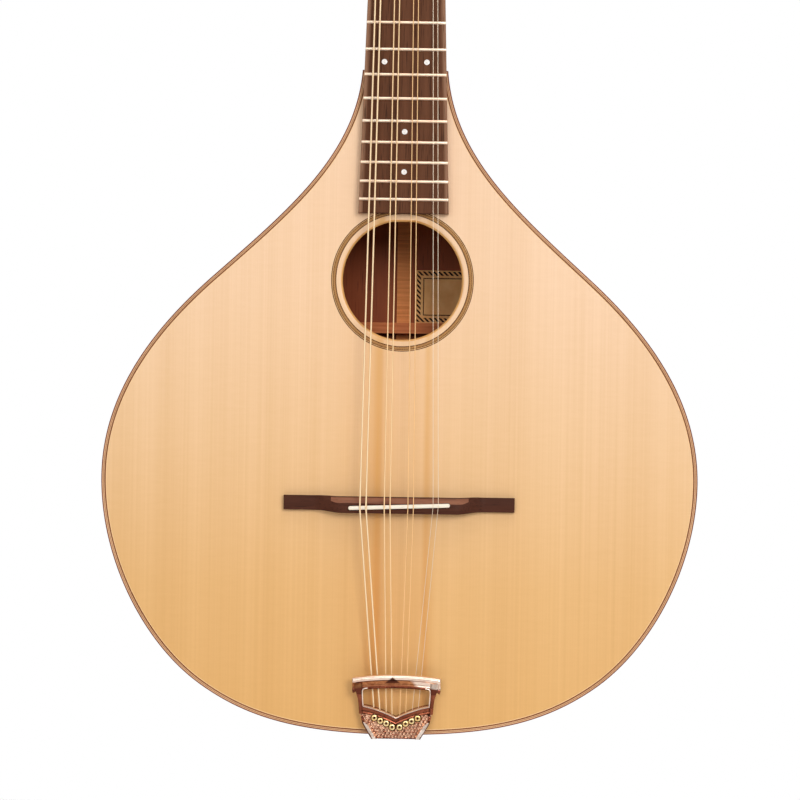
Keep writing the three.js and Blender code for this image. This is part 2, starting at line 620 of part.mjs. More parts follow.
function tailScrew() {
  const points = [[0, -SCREW.headHeight], [SCREW.headRadius - 0.8, -SCREW.headHeight], [SCREW.headRadius, 0],
    [SCREW.radius, 0], [SCREW.radius, SCREW.length - 3], [0, SCREW.length]];
  return turned(points, 12).rotateX(Math.PI / 2);
}

// ---------------------------------------------------------------- strings

// The eight strings in order from bass to treble, with the places each one passes.
function strings() {
  return COURSES.flatMap((course, pair) => [-1, 1].map((hand, n) => {
    const index = 2 * pair + n;
    const side = pair < 2 ? -1 : 1;
    const outward = side < 0 ? index : 7 - index;        // 0 is nearest the board's edge
    return {
      gauge: course.gauge,
      nutX: course.nut + hand * course.nutHalf,
      saddleX: course.saddle + hand * course.saddleHalf,
      ballX: side * -BALL_PLACES[3 - outward][0],
      ballZ: BALL_PLACES[3 - outward][1],
      side,
      post: outward,
    };
  }));
}

// A path through given points, stepped from point to point.
class Route extends THREE.Curve {
  constructor(points) {
    super();
    this.points = points;
  }

  getPoint(t) {
    const last = this.points.length - 1;
    const i = Math.min(Math.floor(t * last), last - 1);
    return this.points[i].clone().lerp(this.points[i + 1], t * last - i);
  }

  getUtoTmapping(u) {
    return u;
  }
}

const COIL = { low: -3.8, turns: 3, clearance: GAP };

// Ball end, straight run over saddle and nut, and the winding round the post.
function string({ gauge, nutX, saddleX, ballX, ballZ, side, post }) {
  const radius = gauge / 2;
  const coilInner = POST_RADIUS + COIL.clearance;
  const coilMiddle = COIL.low - (COIL.turns * gauge) / 2;
  const arrival = new THREE.Vector3(side * (POST_X - coilInner - radius), coilMiddle, POST_ROWS[post]);
  const route = [
    new THREE.Vector3(ballX, BALL.y, ballZ + BALL.radius - 0.4),
    new THREE.Vector3(saddleX, STRING_PLANE.saddle - radius, SADDLE.z + saddleX * Math.tan(SADDLE.slant)),
    new THREE.Vector3(nutX, STRING_PLANE.nut - radius, NUT.length + GAP),
    arrival.applyMatrix4(HEAD_FRAME),
  ];
  const section = new THREE.Shape().absarc(0, 0, radius, 0, 2 * Math.PI);
  const options = { steps: route.length - 1, extrudePath: new Route(route), curveSegments: 4 };
  const wire = new THREE.ExtrudeGeometry(section, options);
  const { bore, length } = BALL;
  const ball = ring(bore, BALL.radius, -length / 2, length / 2, 10).translate(ballX, BALL.y, ballZ);
  const coil = ring(coilInner, coilInner + gauge, COIL.low - COIL.turns * gauge, COIL.low, 12);
  coil.translate(side * POST_X, 0, POST_ROWS[post]).applyMatrix4(HEAD_FRAME);
  return surface(joined(wire, ball, coil));
}

// ---------------------------------------------------------------- materials

function finish(color, roughness, metalness = 0) {
  return new THREE.MeshStandardMaterial({ color, roughness, metalness });
}

const SPRUCE = finish(0xe9be85, 0.35);
const MAHOGANY = finish(0x7a4426, 0.4);
const BRACE_SPRUCE = finish(0xd8b27c, 0.8);
const BINDING_WOOD = finish(0xb5764a, 0.4);
const ROSEWOOD = finish(0x4a3226, 0.5);
const ROSETTE_WOOD = finish(0xc08a50, 0.4);
const PAPER = finish(0xd9c49a, 0.9);
const BONE = finish(0xf4efe2, 0.35);
const BRONZE = finish(0x8c5a40, 0.3, 1);
const STEEL = finish(0xb9bcc0, 0.3, 1);
const BRASS = finish(0xc79a4b, 0.3, 1);
const WOUND = finish(0xc99a6b, 0.4, 1);
const PLAIN = finish(0xd5d7da, 0.25, 1);
const EBONY = finish(0x241a16, 0.4);

// ---------------------------------------------------------------- assembly

const mandolin = new THREE.Group();
const head = new THREE.Group();
head.applyMatrix4(HEAD_FRAME);
mandolin.add(head);

function add(name, geometry, material, parent = mandolin) {
  const mesh = new THREE.Mesh(geometry, material);
  mesh.name = name;
  parent.add(mesh);
  return mesh;
}

const SIDES = [[-1, 'bass'], [1, 'treble']];

add('soundboard', soundboard(), SPRUCE);
add('rosette', rosette(), ROSETTE_WOOD);
add('back', plate(rimShape(INSIDE), BACK_FRONT, BODY_DEPTH), MAHOGANY);
add('front_binding', plate(rimBand(0, RIB_THICKNESS), 0, BINDING_HEIGHT), BINDING_WOOD);
add('back_binding', plate(rimBand(0, RIB_THICKNESS), BODY_DEPTH - BINDING_HEIGHT, BODY_DEPTH), BINDING_WOOD);
for (const [side, name] of SIDES) {
  add(`${name}_rib`, rib(side), MAHOGANY);
  add(`front_lining_${name}`, lining(side, UNDER_TOP), BRACE_SPRUCE);
  add(`back_lining_${name}`, lining(side, OVER_BACK - LINING_HEIGHT), BRACE_SPRUCE);
  add(`tone_bar_${name}`, toneBar(side), BRACE_SPRUCE);
}
add('neck_block', neckBlock(), MAHOGANY);
add('tail_block', tailBlock(), MAHOGANY);
for (const [name, z] of Object.entries(TOP_BRACE.places)) {
  add(`${name}_top_brace`, crossBrace(z, UNDER_TOP, TOP_BRACE.rise, TOP_BRACE.width), BRACE_SPRUCE);
}
const NOTCH = {
  left: CENTRE_STRIP.left - GAP, right: CENTRE_STRIP.right + GAP, y: OVER_BACK - CENTRE_STRIP.thickness - GAP,
};
BACK_BRACE.places.forEach((z, i) => {
  add(`back_brace_${i + 1}`, crossBrace(z, OVER_BACK, -BACK_BRACE.rise, BACK_BRACE.width, NOTCH), MAHOGANY);
});
add('back_centre_strip', centreStrip(), BINDING_WOOD);
const { left, right, low, high, thickness } = LABEL;
add('label', block(left, right, OVER_BACK - thickness, OVER_BACK, low, high), PAPER);

add('neck', neck(), MAHOGANY);
add('heel_cap', heelCap(), ROSEWOOD);
add('fingerboard', fingerboard(), ROSEWOOD);
add('nut', nut(), BONE);
add('truss_rod', trussRod(), STEEL);
add('head_veneer', headVeneer(), ROSEWOOD, head);
add('truss_rod_cover', rodCover(), EBONY, head);

add('bridge', bridge(), ROSEWOOD);
add('saddle', saddle(), BONE);
add('tailpiece', tailpiece(), BRONZE);
for (const [side, name] of SIDES) {
  add(`tailpiece_screw_${name}`, tailScrew(), BRONZE)
    .position.set(side * TAIL_FOOT.screwX, TAIL_FOOT.screwY, TAIL_END - GAP - TAIL_FOOT.thickness - GAP);
  add(`tuner_strip_${name}`, tunerStrip(side), BRASS, head);
}
for (const { side, row, x, w } of posts()) {
  const name = `${side < 0 ? 'bass' : 'treble'}_${row + 1}`;
  add(`post_${name}`, postAndGear(), BRASS, head).position.set(x, 0, w);
  add(`button_${name}`, buttonAndWorm(side), EBONY, head).position.set(x, WORM_Y, w - WORM_DROP);
}
strings().forEach((place, i) => add(`string_${i + 1}`, string(place), i < 6 ? WOUND : PLAIN));

export default mandolin;
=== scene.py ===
import bmesh
import bpy
import math
import random
from mathutils import Matrix, Vector


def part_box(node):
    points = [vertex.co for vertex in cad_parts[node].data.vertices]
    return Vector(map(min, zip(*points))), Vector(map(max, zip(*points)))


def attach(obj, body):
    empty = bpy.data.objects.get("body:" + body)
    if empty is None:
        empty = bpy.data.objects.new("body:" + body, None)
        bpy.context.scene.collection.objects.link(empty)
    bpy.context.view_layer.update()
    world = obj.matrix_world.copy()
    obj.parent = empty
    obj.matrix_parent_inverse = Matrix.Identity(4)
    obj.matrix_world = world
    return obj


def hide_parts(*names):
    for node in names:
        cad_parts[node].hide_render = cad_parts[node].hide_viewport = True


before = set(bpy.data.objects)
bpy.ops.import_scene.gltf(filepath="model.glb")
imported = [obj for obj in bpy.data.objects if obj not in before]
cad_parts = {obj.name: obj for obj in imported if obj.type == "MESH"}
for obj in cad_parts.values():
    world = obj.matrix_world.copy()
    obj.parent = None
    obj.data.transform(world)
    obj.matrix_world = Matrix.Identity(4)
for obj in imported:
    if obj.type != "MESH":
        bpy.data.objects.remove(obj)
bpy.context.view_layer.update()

ROOT = "mandolin"
MM = 0.001

# ------------------------------------------------------------------ dimensions, in mm, as in the CAD model

SCALE_LENGTH = 530.0
FRETS = 18
BODY_END = -261.0
TAIL_END = -677.2
BODY_DEPTH = 80.0
NECK_END_HALF = 26.8
BINDING_WIDTH = 3.3
BINDING_HEIGHT = 6.0
RIB_THICKNESS = 2.4
PLATE = 2.8
HOLE_Z = -392.5
HOLE_RADIUS = 37.3
ROSETTE_INNER, ROSETTE_OUTER = 41.4, 44.6
BOARD_END, BOARD_TOP = -351.0, -7.0
NUT_HALF, END_HALF = 17.75, 28.2
NUT_TOP, NUT_BACK = -9.4, 5.2
HEEL_TOP = BODY_END + 0.3
HEAD_ANGLE = math.radians(13)
HEAD_START = 6.0
HEAD_LENGTH = 166.0
HEAD_BACK = 15.5
HEAD_FOOT_HALF = 17.6
POST_X = 22.0
POST_ROWS = (44.0, 70.0, 96.0, 122.0)
WORM_DROP = 8.8
WORM_Y = 20.3
GEAR_TEETH = 14
STRING_NUT, STRING_SADDLE = -8.6, -12.5
SADDLE_Z = -533.8
SADDLE_SLANT = math.radians(2.2)
BRIDGE_Z = -532.3
BRIDGE_HALF = 72.1
BRIDGE_WING, BRIDGE_HEIGHT = 4.0, 10.0
BALL_Y = -4.6
BAR_HALF, BAR_RISE, BAR_Z = 27.4, 1.9, -640.4
LIP_HALF, LIP_Z = 21.0, -664.9
TAIL_FOOT_END = -678.6

# Each pair of strings: gauge, middle and half spacing at the nut and at the saddle, and ball-end places.
COURSES = (
    (1.10, -14.6, 1.45, -22.4, 1.9, ((-13.5, -665.6), (-9.7, -667.4))),
    (0.80, -4.9, 1.45, -7.4, 1.8, ((-6.0, -669.0), (-2.3, -671.3))),
    (0.56, 4.9, 1.40, 7.2, 1.7, ((2.3, -671.3), (6.0, -669.0))),
    (0.34, 14.6, 1.30, 22.7, 1.6, ((9.7, -667.4), (13.5, -665.6))),
)

HEAD = Matrix.Translation((0, 0, HEAD_START)) @ Matrix.Rotation(-HEAD_ANGLE, 4, "X")
Z_TO_FRONT = Matrix.Rotation(math.radians(90), 4, "X")
Z_TO_BACK = Matrix.Rotation(math.radians(-90), 4, "X")


def lerp(a, b, t):
    return a + (b - a) * t


def smooth(t):
    t = min(max(t, 0.0), 1.0)
    return t * t * (3 - 2 * t)


def steps(low, high, count):
    """Even steps from low to high, both included."""
    return [lerp(low, high, i / count) for i in range(count + 1)]


# ------------------------------------------------------------------ camera, light and floor

CAMERA_DISTANCE = 1.208
CAMERA_ROLL = math.radians(-0.86)
VIEW_HEIGHT = 0.4975
VIEW_MIDDLE = -0.4675
STRINGS_FORWARD = 0.008
SENSOR = 36.0


def make_camera():
    """Square to the soundboard, level with the bout, and rolled a little so that the neck leans right."""
    lens_data = bpy.data.cameras.new("camera")
    lens_data.sensor_width = SENSOR
    lens_data.lens = SENSOR * (CAMERA_DISTANCE - STRINGS_FORWARD) / VIEW_HEIGHT
    camera = bpy.data.objects.new("camera", lens_data)
    bpy.context.collection.objects.link(camera)
    camera.location = (-0.0004, -CAMERA_DISTANCE, VIEW_MIDDLE)
    camera.rotation_euler = (math.radians(90), CAMERA_ROLL, 0)
    bpy.context.scene.camera = camera


def area_light(name, position, target, size, power):
    data = bpy.data.lights.new(name, "AREA")
    data.shape = "DISK"
    data.size = size
    data.energy = power
    lamp = bpy.data.objects.new(name, data)
    bpy.context.collection.objects.link(lamp)
    lamp.location = position
    lamp.rotation_euler = (Vector(target) - Vector(position)).to_track_quat("-Z", "Y").to_euler()


def make_lamps():
    """Two broad lamps in front, low enough to light the sound hole's inside, one above and two behind."""
    middle = (0.0, 0.0, -0.45)
    area_light("key", (0.75, -2.0, 0.15), middle, 0.9, 20.6)
    area_light("fill", (-0.6, -2.0, -0.1), middle, 1.0, 8.6)
    area_light("top", (0.1, -0.5, 0.9), (0, 0, -0.5), 0.7, 3.6)
    area_light("back", (0.9, 1.7, 0.5), middle, 1.2, 16)
    area_light("back_left", (-1.3, 1.3, -0.1), middle, 1.2, 8)


def make_world():
    """A white background that lights the object strongly from above and weakly from below."""
    world = bpy.data.worlds.new("studio")
    bpy.context.scene.world = world
    world.use_nodes = True
    nodes, links = world.node_tree.nodes, world.node_tree.links
    background = nodes["Background"]
    background.inputs["Color"].default_value = (1, 1, 1, 1)
    direction = nodes.new("ShaderNodeTexCoord")
    split = nodes.new("ShaderNodeSeparateXYZ")
    links.new(direction.outputs["Generated"], split.inputs[0])
    height = nodes.new("ShaderNodeMapRange")
    height.interpolation_type = "SMOOTHSTEP"
    links.new(split.outputs["Z"], height.inputs["Value"])
    for name, value in (("From Min", -0.1), ("From Max", 0.75), ("To Min", 0.12), ("To Max", 0.55)):
        height.inputs[name].default_value = value
    path = nodes.new("ShaderNodeLightPath")
    strength = nodes.new("ShaderNodeMix")
    strength.inputs["B"].default_value = 1.0
    links.new(height.outputs["Result"], strength.inputs["A"])
    links.new(path.outputs["Is Camera Ray"], strength.inputs["Factor"])
    links.new(strength.outputs["Result"], background.inputs["Strength"])
    settings = bpy.context.scene.view_settings
    settings.view_transform = "Standard"
    settings.look = "None"


def make_floor():
    bpy.ops.mesh.primitive_plane_add(size=1.7, location=(0, 0, -0.9))
    floor = bpy.context.object
    floor.name = "floor"
    material = bpy.data.materials.new("floor_white")
    material.use_nodes = True
    shader = material.node_tree.nodes["Principled BSDF"]
    shader.inputs["Base Color"].default_value = (0.9, 0.9, 0.9, 1)
    shader.inputs["Roughness"].default_value = 0.9
    floor.data.materials.append(material)


make_camera()
make_lamps()
make_world()
make_floor()

# ------------------------------------------------------------------ material nodes

def srgb(r, g, b):
    def channel(v):
        v /= 255
        return v / 12.92 if v <= 0.04045 else ((v + 0.055) / 1.055) ** 2.4
    return (channel(r), channel(g), channel(b), 1.0)


def paint(color):
    """Three sRGB levels made linear. Four linear numbers, or a socket, stay as they are."""
    return srgb(*color) if isinstance(color, tuple) and len(color) == 3 else color


def scaled(numbers, factor):
    return tuple(number * factor for number in numbers)


class Value:
    """A number inside a material. Arithmetic on it adds the node that does the sum."""

    def __init__(self, graph, socket):
        self.graph = graph
        self.socket = socket

    def __add__(self, other):
        return self.graph.math("ADD", self, other)

    def __sub__(self, other):
        return self.graph.math("SUBTRACT", self, other)

    def __rsub__(self, other):
        return self.graph.math("SUBTRACT", other, self)

    def __mul__(self, other):
        return self.graph.math("MULTIPLY", self, other)

    def __truediv__(self, other):
        return self.graph.math("DIVIDE", self, other)

    def __pow__(self, other):
        return self.graph.math("POWER", self, other)

    def __abs__(self):
        return self.graph.math("ABSOLUTE", self)


class Graph:
    """A material's nodes, added one call at a time."""

    def __init__(self, name, roughness=0.5, metallic=0.0, coat=0.0, coat_roughness=0.1, specular=0.5):
        self.material = bpy.data.materials.new(name)
        self.material.use_nodes = True
        self.tree = self.material.node_tree
        self.shader = self.tree.nodes["Principled BSDF"]
        constants = {"Roughness": roughness, "Metallic": metallic, "Specular IOR Level": specular,
                     "Coat Weight": coat, "Coat Roughness": coat_roughness}
        for name, value in constants.items():
            self.shader.inputs[name].default_value = value
        self.coordinates = self.tree.nodes.new("ShaderNodeTexCoord")

    def place(self, socket, value):
        """Sets a socket to a number or colour, or links it to another node's output."""
        if isinstance(value, Value):
            value = value.socket
        if isinstance(value, bpy.types.NodeSocket):
            self.tree.links.new(value, socket)
        else:
            socket.default_value = value

    def add(self, kind, **inputs):
        """A new node with inputs given by name, with underscores for spaces."""
        node = self.tree.nodes.new("ShaderNode" + kind)
        for name, value in inputs.items():
            self.place(node.inputs[name.replace("_", " ")], value)
        return node

    def axis(self, letter, kind="Object"):
        split = self.add("SeparateXYZ", Vector=self.coordinates.outputs[kind])
        return Value(self, split.outputs[letter])

    def noise(self, scale, detail=4.0, roughness=0.55, distortion=0.0, kind="Object"):
        """Noise with one scale, or a scale for each axis, in features to the metre."""
        scales = scale if isinstance(scale, tuple) else (scale, scale, scale)
        place = self.add("Mapping", Scale=scales, Vector=self.coordinates.outputs[kind])
        cloud = self.add("TexNoise", Vector=place.outputs["Vector"], Scale=1.0, Detail=detail,
                         Roughness=roughness, Distortion=distortion)
        return Value(self, cloud.outputs["Fac"])

    def math(self, operation, *values):
        node = self.tree.nodes.new("ShaderNodeMath")
        node.operation = operation
        for socket, value in zip(node.inputs, values):
            self.place(socket, value)
        return Value(self, node.outputs[0])

    def span(self, value, low, high, to_low=0.0, to_high=1.0):
        node = self.add("MapRange", Value=value, From_Min=low, From_Max=high, To_Min=to_low, To_Max=to_high)
        return Value(self, node.outputs["Result"])

    def between(self, value, low, high):
        return self.math("LESS_THAN", value, high) * self.math("GREATER_THAN", value, low)

    def ramp(self, value, *stops):
        node = self.add("ValToRGB", Fac=value)
        elements = node.color_ramp.elements
        while len(elements) < len(stops):
            elements.new(0.5)
        for element, (position, color) in zip(elements, stops):
            element.position = position
            element.color = paint(color)
        return node.outputs["Color"]

    def mix(self, amount, a, b, blend="MIX"):
        node = self.tree.nodes.new("ShaderNodeMix")
        node.data_type = "RGBA"
        node.blend_type = blend
        for index, value in ((0, amount), (6, paint(a)), (7, paint(b))):
            self.place(node.inputs[index], value)
        return node.outputs[2]

    def color(self, value):
        self.place(self.shader.inputs["Base Color"], value)
        return self

    def roughness(self, value):
        self.place(self.shader.inputs["Roughness"], value)
        return self

    def bump(self, height, depth_mm, strength):
        node = self.add("Bump", Height=height, Strength=strength, Distance=depth_mm * MM)
        self.place(self.shader.inputs["Normal"], node.outputs["Normal"])
        return self


# ------------------------------------------------------------------ materials

BODY_HALF, STREAK_HALF = 0.19, 0.024
# The two golden streaks beside the centre joint: place across the strip they cross, and depth of colour.
STREAK_LEVELS = ((0.0, 0.05), (0.07, 0.3), (0.15, 0.6), (0.205, 1.0), (0.245, 0.9), (0.29, 0.35), (0.42, 0.2),
                 (0.62, 0.12), (0.8, 0.2), (0.845, 0.8), (0.88, 0.6), (0.92, 0.15), (1.0, 0.0))
# Faint changes of shade from board to board, and a paler treble side that is a painted sheen: place across
# the top, then red, green and blue factors.
BOARD_TONES_AND_SHEEN = ((0.0, (0.985, 0.985, 0.97)), (0.27, (0.995, 0.992, 0.98)), (0.287, (0.968, 0.95, 0.905)),
                (0.30, (0.985, 0.975, 0.945)), (0.32, (1.0, 0.995, 0.98)), (0.55, (1.0, 1.0, 1.0)),
                (0.64, (1.0, 1.005, 1.015)), (0.685, (0.995, 0.995, 1.0)), (0.70, (0.98, 0.972, 0.955)),
                (0.715, (1.0, 1.005, 1.015)), (0.84, (1.008, 1.02, 1.06)), (1.0, (1.008, 1.02, 1.06)))


def spruce_top():
    """Quarter-sawn spruce under satin lacquer, two matched halves with fine upright grain, with a painted
    sheen at the top and painted falloff lower down.
    """
    g = Graph("spruce_top", roughness=0.48, coat=0.35, coat_roughness=0.22)
    across, up = g.axis("X"), g.axis("Z")
    # Paler and pinker at the top, more golden lower down: a painted sheen and painted falloff of light.
    down = g.ramp(g.span(up, -0.30, -0.68), (0.0, (248, 209, 172)), (0.25, (246, 205, 164)),
                  (0.5, (240, 196, 145)), (0.75, (232, 182, 117)), (1.0, (227, 174, 103)))
    rings = g.noise((900, 1, 2.2), 3.0, 0.6)
    broad = g.noise((60, 1, 1.2), 3.0, 0.5)
    silk = g.noise((70, 1, 420), 4.0, 0.6, 0.6)
    lines = g.noise((430, 1, 0.9), 2.0, 0.5)
    tone = g.span(rings, 0.3, 0.7, -1, 1) * 0.022 + g.span(broad, 0.3, 0.7, -1, 1) * 0.024
    tone = tone + g.span(lines, 0.3, 0.7, -1, 1) * 0.015 + g.span(silk, 0.35, 0.65, -1, 1) * 0.008
    grain = g.ramp(g.span(tone, -0.08, 0.08), (0.0, (0.90, 0.84, 0.72, 1)), (1.0, (1.05, 1.07, 1.12, 1)))
    boards = ((place, shade + (1,)) for place, shade in BOARD_TONES_AND_SHEEN)
    # Board tones, with the painted sheen on the treble side.
    shades = g.ramp(g.span(across, -BODY_HALF, BODY_HALF), *boards)
    body = g.mix(1.0, g.mix(1.0, down, grain, "MULTIPLY"), shades, "MULTIPLY")
    levels = ((place, (level, level, level, 1)) for place, level in STREAK_LEVELS)
    streak = g.ramp(g.span(across, -STREAK_HALF, STREAK_HALF), *levels)
    wander = g.span(g.noise((30, 1, 5), 2.0), 0.3, 0.7, 0.7, 1.0)
    gold = g.ramp(g.span(up, -0.45, -0.60), (0.0, (231, 169, 80)), (1.0, (217, 146, 64)))
    g.color(g.mix(wander * streak * g.span(up, -0.40, -0.50, 0.8, 1.0), body, gold))
    g.roughness(g.span(rings, 0.3, 0.7, 0.44, 0.52))
    return g.bump(rings, 0.01, 0.2).material


def end_grain():
    """The cut wall of the sound hole."""
    g = Graph("spruce_edge", roughness=0.6, coat=0.15)
    layers = g.noise((40, 1500, 40), 2.0)
    return g.color(g.ramp(layers, (0.3, (228, 160, 84)), (0.7, (244, 190, 118)))).material


def mahogany(name, dark, light, kind="Object", scale=(260, 260, 9), coat=0.4):
    """Ribbon-striped mahogany with short dark pores along the grain. Without a coat it is bare and dull."""
    g = Graph(name, roughness=0.42, coat=coat, coat_roughness=0.18, specular=0.5 if coat else 0.12)
    ribbon = g.noise(scaled(scale, 0.12), 3.0, 0.5, 0.3, kind)
    fibre = g.noise(scale, 5.0, 0.65, kind=kind)
    pore = g.span(g.noise(scaled(scale, 6), 2.0, 0.5, kind=kind), 0.62, 0.72)
    wood = g.ramp(ribbon * 0.6 + fibre * 0.4, (0.34, dark), (0.62, light))
    g.color(g.mix(pore * 0.65, wood, scaled(srgb(*dark)[:3], 0.35) + (1,)))
    g.roughness(g.span(fibre, 0.3, 0.7, 0.36, 0.5))
    return g.bump(fibre - pore, 0.03, 0.5).material


def rosewood_grain(g, dark, light, scale, band_scale, pore_scale):
    """Fibre, pores, and the colour of the wood between the pores."""
    bands = g.noise(band_scale, 3.0, 0.55, 0.8)
    fibre = g.noise(scale, 5.0, 0.7)
    pore = g.span(g.noise(pore_scale, 2.0, 0.5), 0.60, 0.68)
    return fibre, pore, g.ramp(bands * 0.55 + fibre * 0.45, (0.35, dark), (0.65, light))


def rosewood_surface(g, fibre, pore, wood, pore_color, roughness):
    g.color(g.mix(pore * 0.7, wood, pore_color))
    g.roughness(g.span(fibre, 0.3, 0.7, roughness - 0.08, roughness + 0.08))
    return g.bump(fibre - pore * 1.5, 0.04, 0.6).material


def rosewood(name, dark, light, scale=(420, 420, 12), roughness=0.55, coat=0.0, specular=0.25):
    """Open-grained rosewood with black pore lines."""
    g = Graph(name, roughness=roughness, coat=coat, coat_roughness=0.3, specular=specular)
    fibre, pore, wood = rosewood_grain(g, dark, light, scale, scaled(scale, 0.14), scaled(scale, 4.5))
    return rosewood_surface(g, fibre, pore, wood, (32, 20, 15), roughness)


def board_rosewood():
    """Rosewood of the fingerboard, with a painted highlight along its two long edges."""
    g = Graph("fingerboard_rosewood", roughness=0.55, specular=0.05)
    dark, light = (88, 54, 36), (110, 70, 49)
    fibre, pore, wood = rosewood_grain(g, dark, light, (420, 420, 12), (59, 59, 1.7), (1900, 1900, 54))
    half_width = g.span(g.axis("Z"), 0.0, BOARD_END * MM, NUT_HALF * MM, END_HALF * MM)
    inside = half_width - abs(g.axis("X")) + (fibre - 0.5) * 0.003
    # A paler colour near each long edge: a painted highlight.
    wood = g.mix(g.span(inside, 0.003, 0.0012) * 0.8, wood, (158, 118, 92))
    return rosewood_surface(g, fibre, pore, wood, (40, 24, 17), 0.55)


def plain_wood(name, dark, light, kind="Object", scale=(300, 300, 14), coat=0.0):
    """Fine-grained wood, bare or with a thin coat."""
    g = Graph(name, coat=coat, coat_roughness=0.2, specular=0.5 if coat else 0.12)
    fibre = g.noise(scale, 4.0, 0.6, kind=kind)
    g.color(g.ramp(fibre, (0.32, dark), (0.68, light)))
    return g.bump(fibre, 0.02, 0.4).material


def edging(name, dark, light, coat=0.0):
    """Wood bent round the outline, so that its grain runs along the uv's x."""
    return plain_wood(name, dark, light, "UV", (10, 300, 300), coat)


def rosette_inlay():
    """Short slanting chips of light and dark wood."""
    g = Graph("rosette_inlay", roughness=0.55, specular=0.2)
    slant = g.axis("X", "UV") + g.axis("Y", "UV") * 2.2
    chip = g.math("FRACT", slant * 0.7)
    return g.color(g.ramp(chip, (0.0, (124, 76, 34)), (0.35, (146, 94, 48)), (0.5, (216, 166, 106)),
                          (0.8, (206, 154, 94)), (1.0, (124, 76, 34)))).material


def bone():
    """Bleached bone, a little cloudy."""
    g = Graph("bone", roughness=0.3, coat=0.3)
    g.shader.inputs["Subsurface Weight"].default_value = 0.15
    g.shader.inputs["Subsurface Radius"].default_value = (0.002, 0.0015, 0.001)
    cloud = g.noise((300, 500, 500), 4.0, 0.6)
    return g.color(g.ramp(cloud, (0.3, (244, 232, 210)), (0.7, (254, 244, 226)))).material


def pearl():
    """White shell with a faint swirl."""
    g = Graph("pearl_dots", roughness=0.25, coat=0.6)
    swirl = g.noise((700, 700, 900), 3.0, 0.6, 1.5)
    shell = g.ramp(swirl, (0.35, (214, 206, 200)), (0.5, (248, 244, 238)), (0.7, (252, 240, 228)))
    return g.color(shell).material


def metal(name, dark, light, roughness, wear=0.03, stretch=(1, 1, 1)):
    """Drawn or machined metal with faint stains and scratches in its polish."""
    g = Graph(name, roughness=roughness, metallic=1.0)
    stain = g.noise(scaled(stretch, 135), 4.0, 0.6)
    scratch = g.noise(scaled(stretch, 900), 3.0, 0.7)
    g.color(g.ramp(stain, (0.35, dark), (0.65, light)))
    g.roughness(g.span(scratch, 0.3, 0.7, roughness - 0.06, roughness + 0.08))
    return g.bump(scratch, wear, 0.3).material


def cast_bronze(name, dark, light, roughness):
    """Cast bronze with an uneven patina and a fine grit."""
    g = Graph(name, roughness=roughness, metallic=1.0)
    stain = g.noise(160, 4.0, 0.6, 0.8)
    g.color(g.ramp(stain, (0.35, dark), (0.65, light)))
    g.roughness(g.span(stain, 0.3, 0.7, roughness - 0.05, roughness + 0.06))
    return g.bump(g.noise(1800, 3.0, 0.6), 0.015, 0.35).material


def bar_bronze():
    """The tailpiece's bar: rubbed bright at its treble end, pale along its crest as a painted highlight, warm
    brown below, with a dark notch of painted shade.
    """
    g = Graph("bar_bronze", roughness=0.3, metallic=1.0)
    stain = g.noise(200, 4.0, 0.6, 0.8)
    ragged = (stain - 0.5) * 5.0
    x = g.axis("X") * 1000.0
    crown = (1.0 - (x / BAR_HALF) ** 2.0) * BAR_RISE
    below = crown + BAR_Z - g.axis("Z") * 1000.0
    brown = g.ramp(stain, (0.35, (150, 86, 52)), (0.65, (208, 140, 92)))
    brown = g.mix(g.span(below, 5.0, 7.0), brown, (104, 54, 40))
    bright = g.ramp(stain, (0.35, (238, 204, 182)), (0.65, (255, 232, 214)))
    treble_end = g.span(x + ragged - below, 5.0, 8.0) * g.span(below, 7.2, 6.2)
    # The pale crest is a painted highlight.
    crest = g.span(below + ragged * 0.2, 3.0, 2.4)
    tone = g.mix(g.math("MAXIMUM", treble_end, crest), brown, bright)
    # No notch is cut: its dark colour is a painted shade.
    beside_notch = abs(x + 2.4) - (below - 1.0) * 1.25
    notch = g.span(beside_notch, 0.4, -0.6) * g.span(below, 5.2, 4.6)
    g.color(g.mix(notch, tone, (84, 44, 32)))
    return g.bump(g.noise(1800, 3.0, 0.6), 0.015, 0.35).material


def wound_wire(name, light, dark, turns_per_mm):
    """Wire wrapped round a core: the wrap is a fine ridge that repeats along the string, with painted shade
    in the grooves between turns and on the wire's sides.
    """
    g = Graph(name, roughness=0.45, metallic=0.12)
    ridge = abs(g.math("FRACT", g.axis("X", "UV") * turns_per_mm) - 0.5)
    # Paler where the wire faces front or back, darker on its sides: painted light and shade.
    wrap = g.mix(g.span(abs(g.axis("Y", "Normal")), 0.35, 0.75), dark, light)
    # Darker in the grooves between turns: a painted shade.
    g.color(g.mix(g.span(ridge, 0.34, 0.5) * 0.25, wrap, dark))
    return g.bump(ridge * -1.0, 0.12, 0.35).material


def plain_wire():
    """Thin tinned steel wire, dulled by handling, with a warm cream tint that is a painted reflection of the
    wood and painted shade on its sides.
    """
    g = Graph("plain_wire", roughness=0.36, metallic=0.5)
    # The warm cream is a painted reflection of the spruce round the wire.
    core = g.ramp(g.noise((80, 80, 40), 3.0), (0.3, (255, 232, 202)), (0.7, (255, 240, 214)))
    # Darker where the wire faces sideways: a painted shade.
    facing = g.span(abs(g.axis("Y", "Normal")), 0.2, 0.7)
    return g.color(g.mix(facing, (214, 172, 132), core)).material


def label_paper():
    """Aged paper with a hatched border and an inner rule, and nothing written on it."""
    low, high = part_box("label")
    g = Graph("label_paper", roughness=0.85, specular=0.1)
    x, z = g.axis("X"), g.axis("Z")
    from_side = g.math("MINIMUM", x - low.x, high.x - x)
    from_end = g.math("MINIMUM", z - low.z, high.z - z)
    inset = g.math("MINIMUM", from_side, from_end) * 1000.0
    hatch = g.math("GREATER_THAN", g.math("FRACT", (x + z) * 300.0), 0.5)
    ink = g.math("MAXIMUM", hatch * g.between(inset, 0.7, 3.4), g.between(inset, 5.0, 5.6))
    paper = g.ramp(g.noise(120), (0.3, (236, 172, 108)), (0.7, (252, 196, 132)))
    return g.color(g.mix(ink, paper, (52, 34, 24))).material


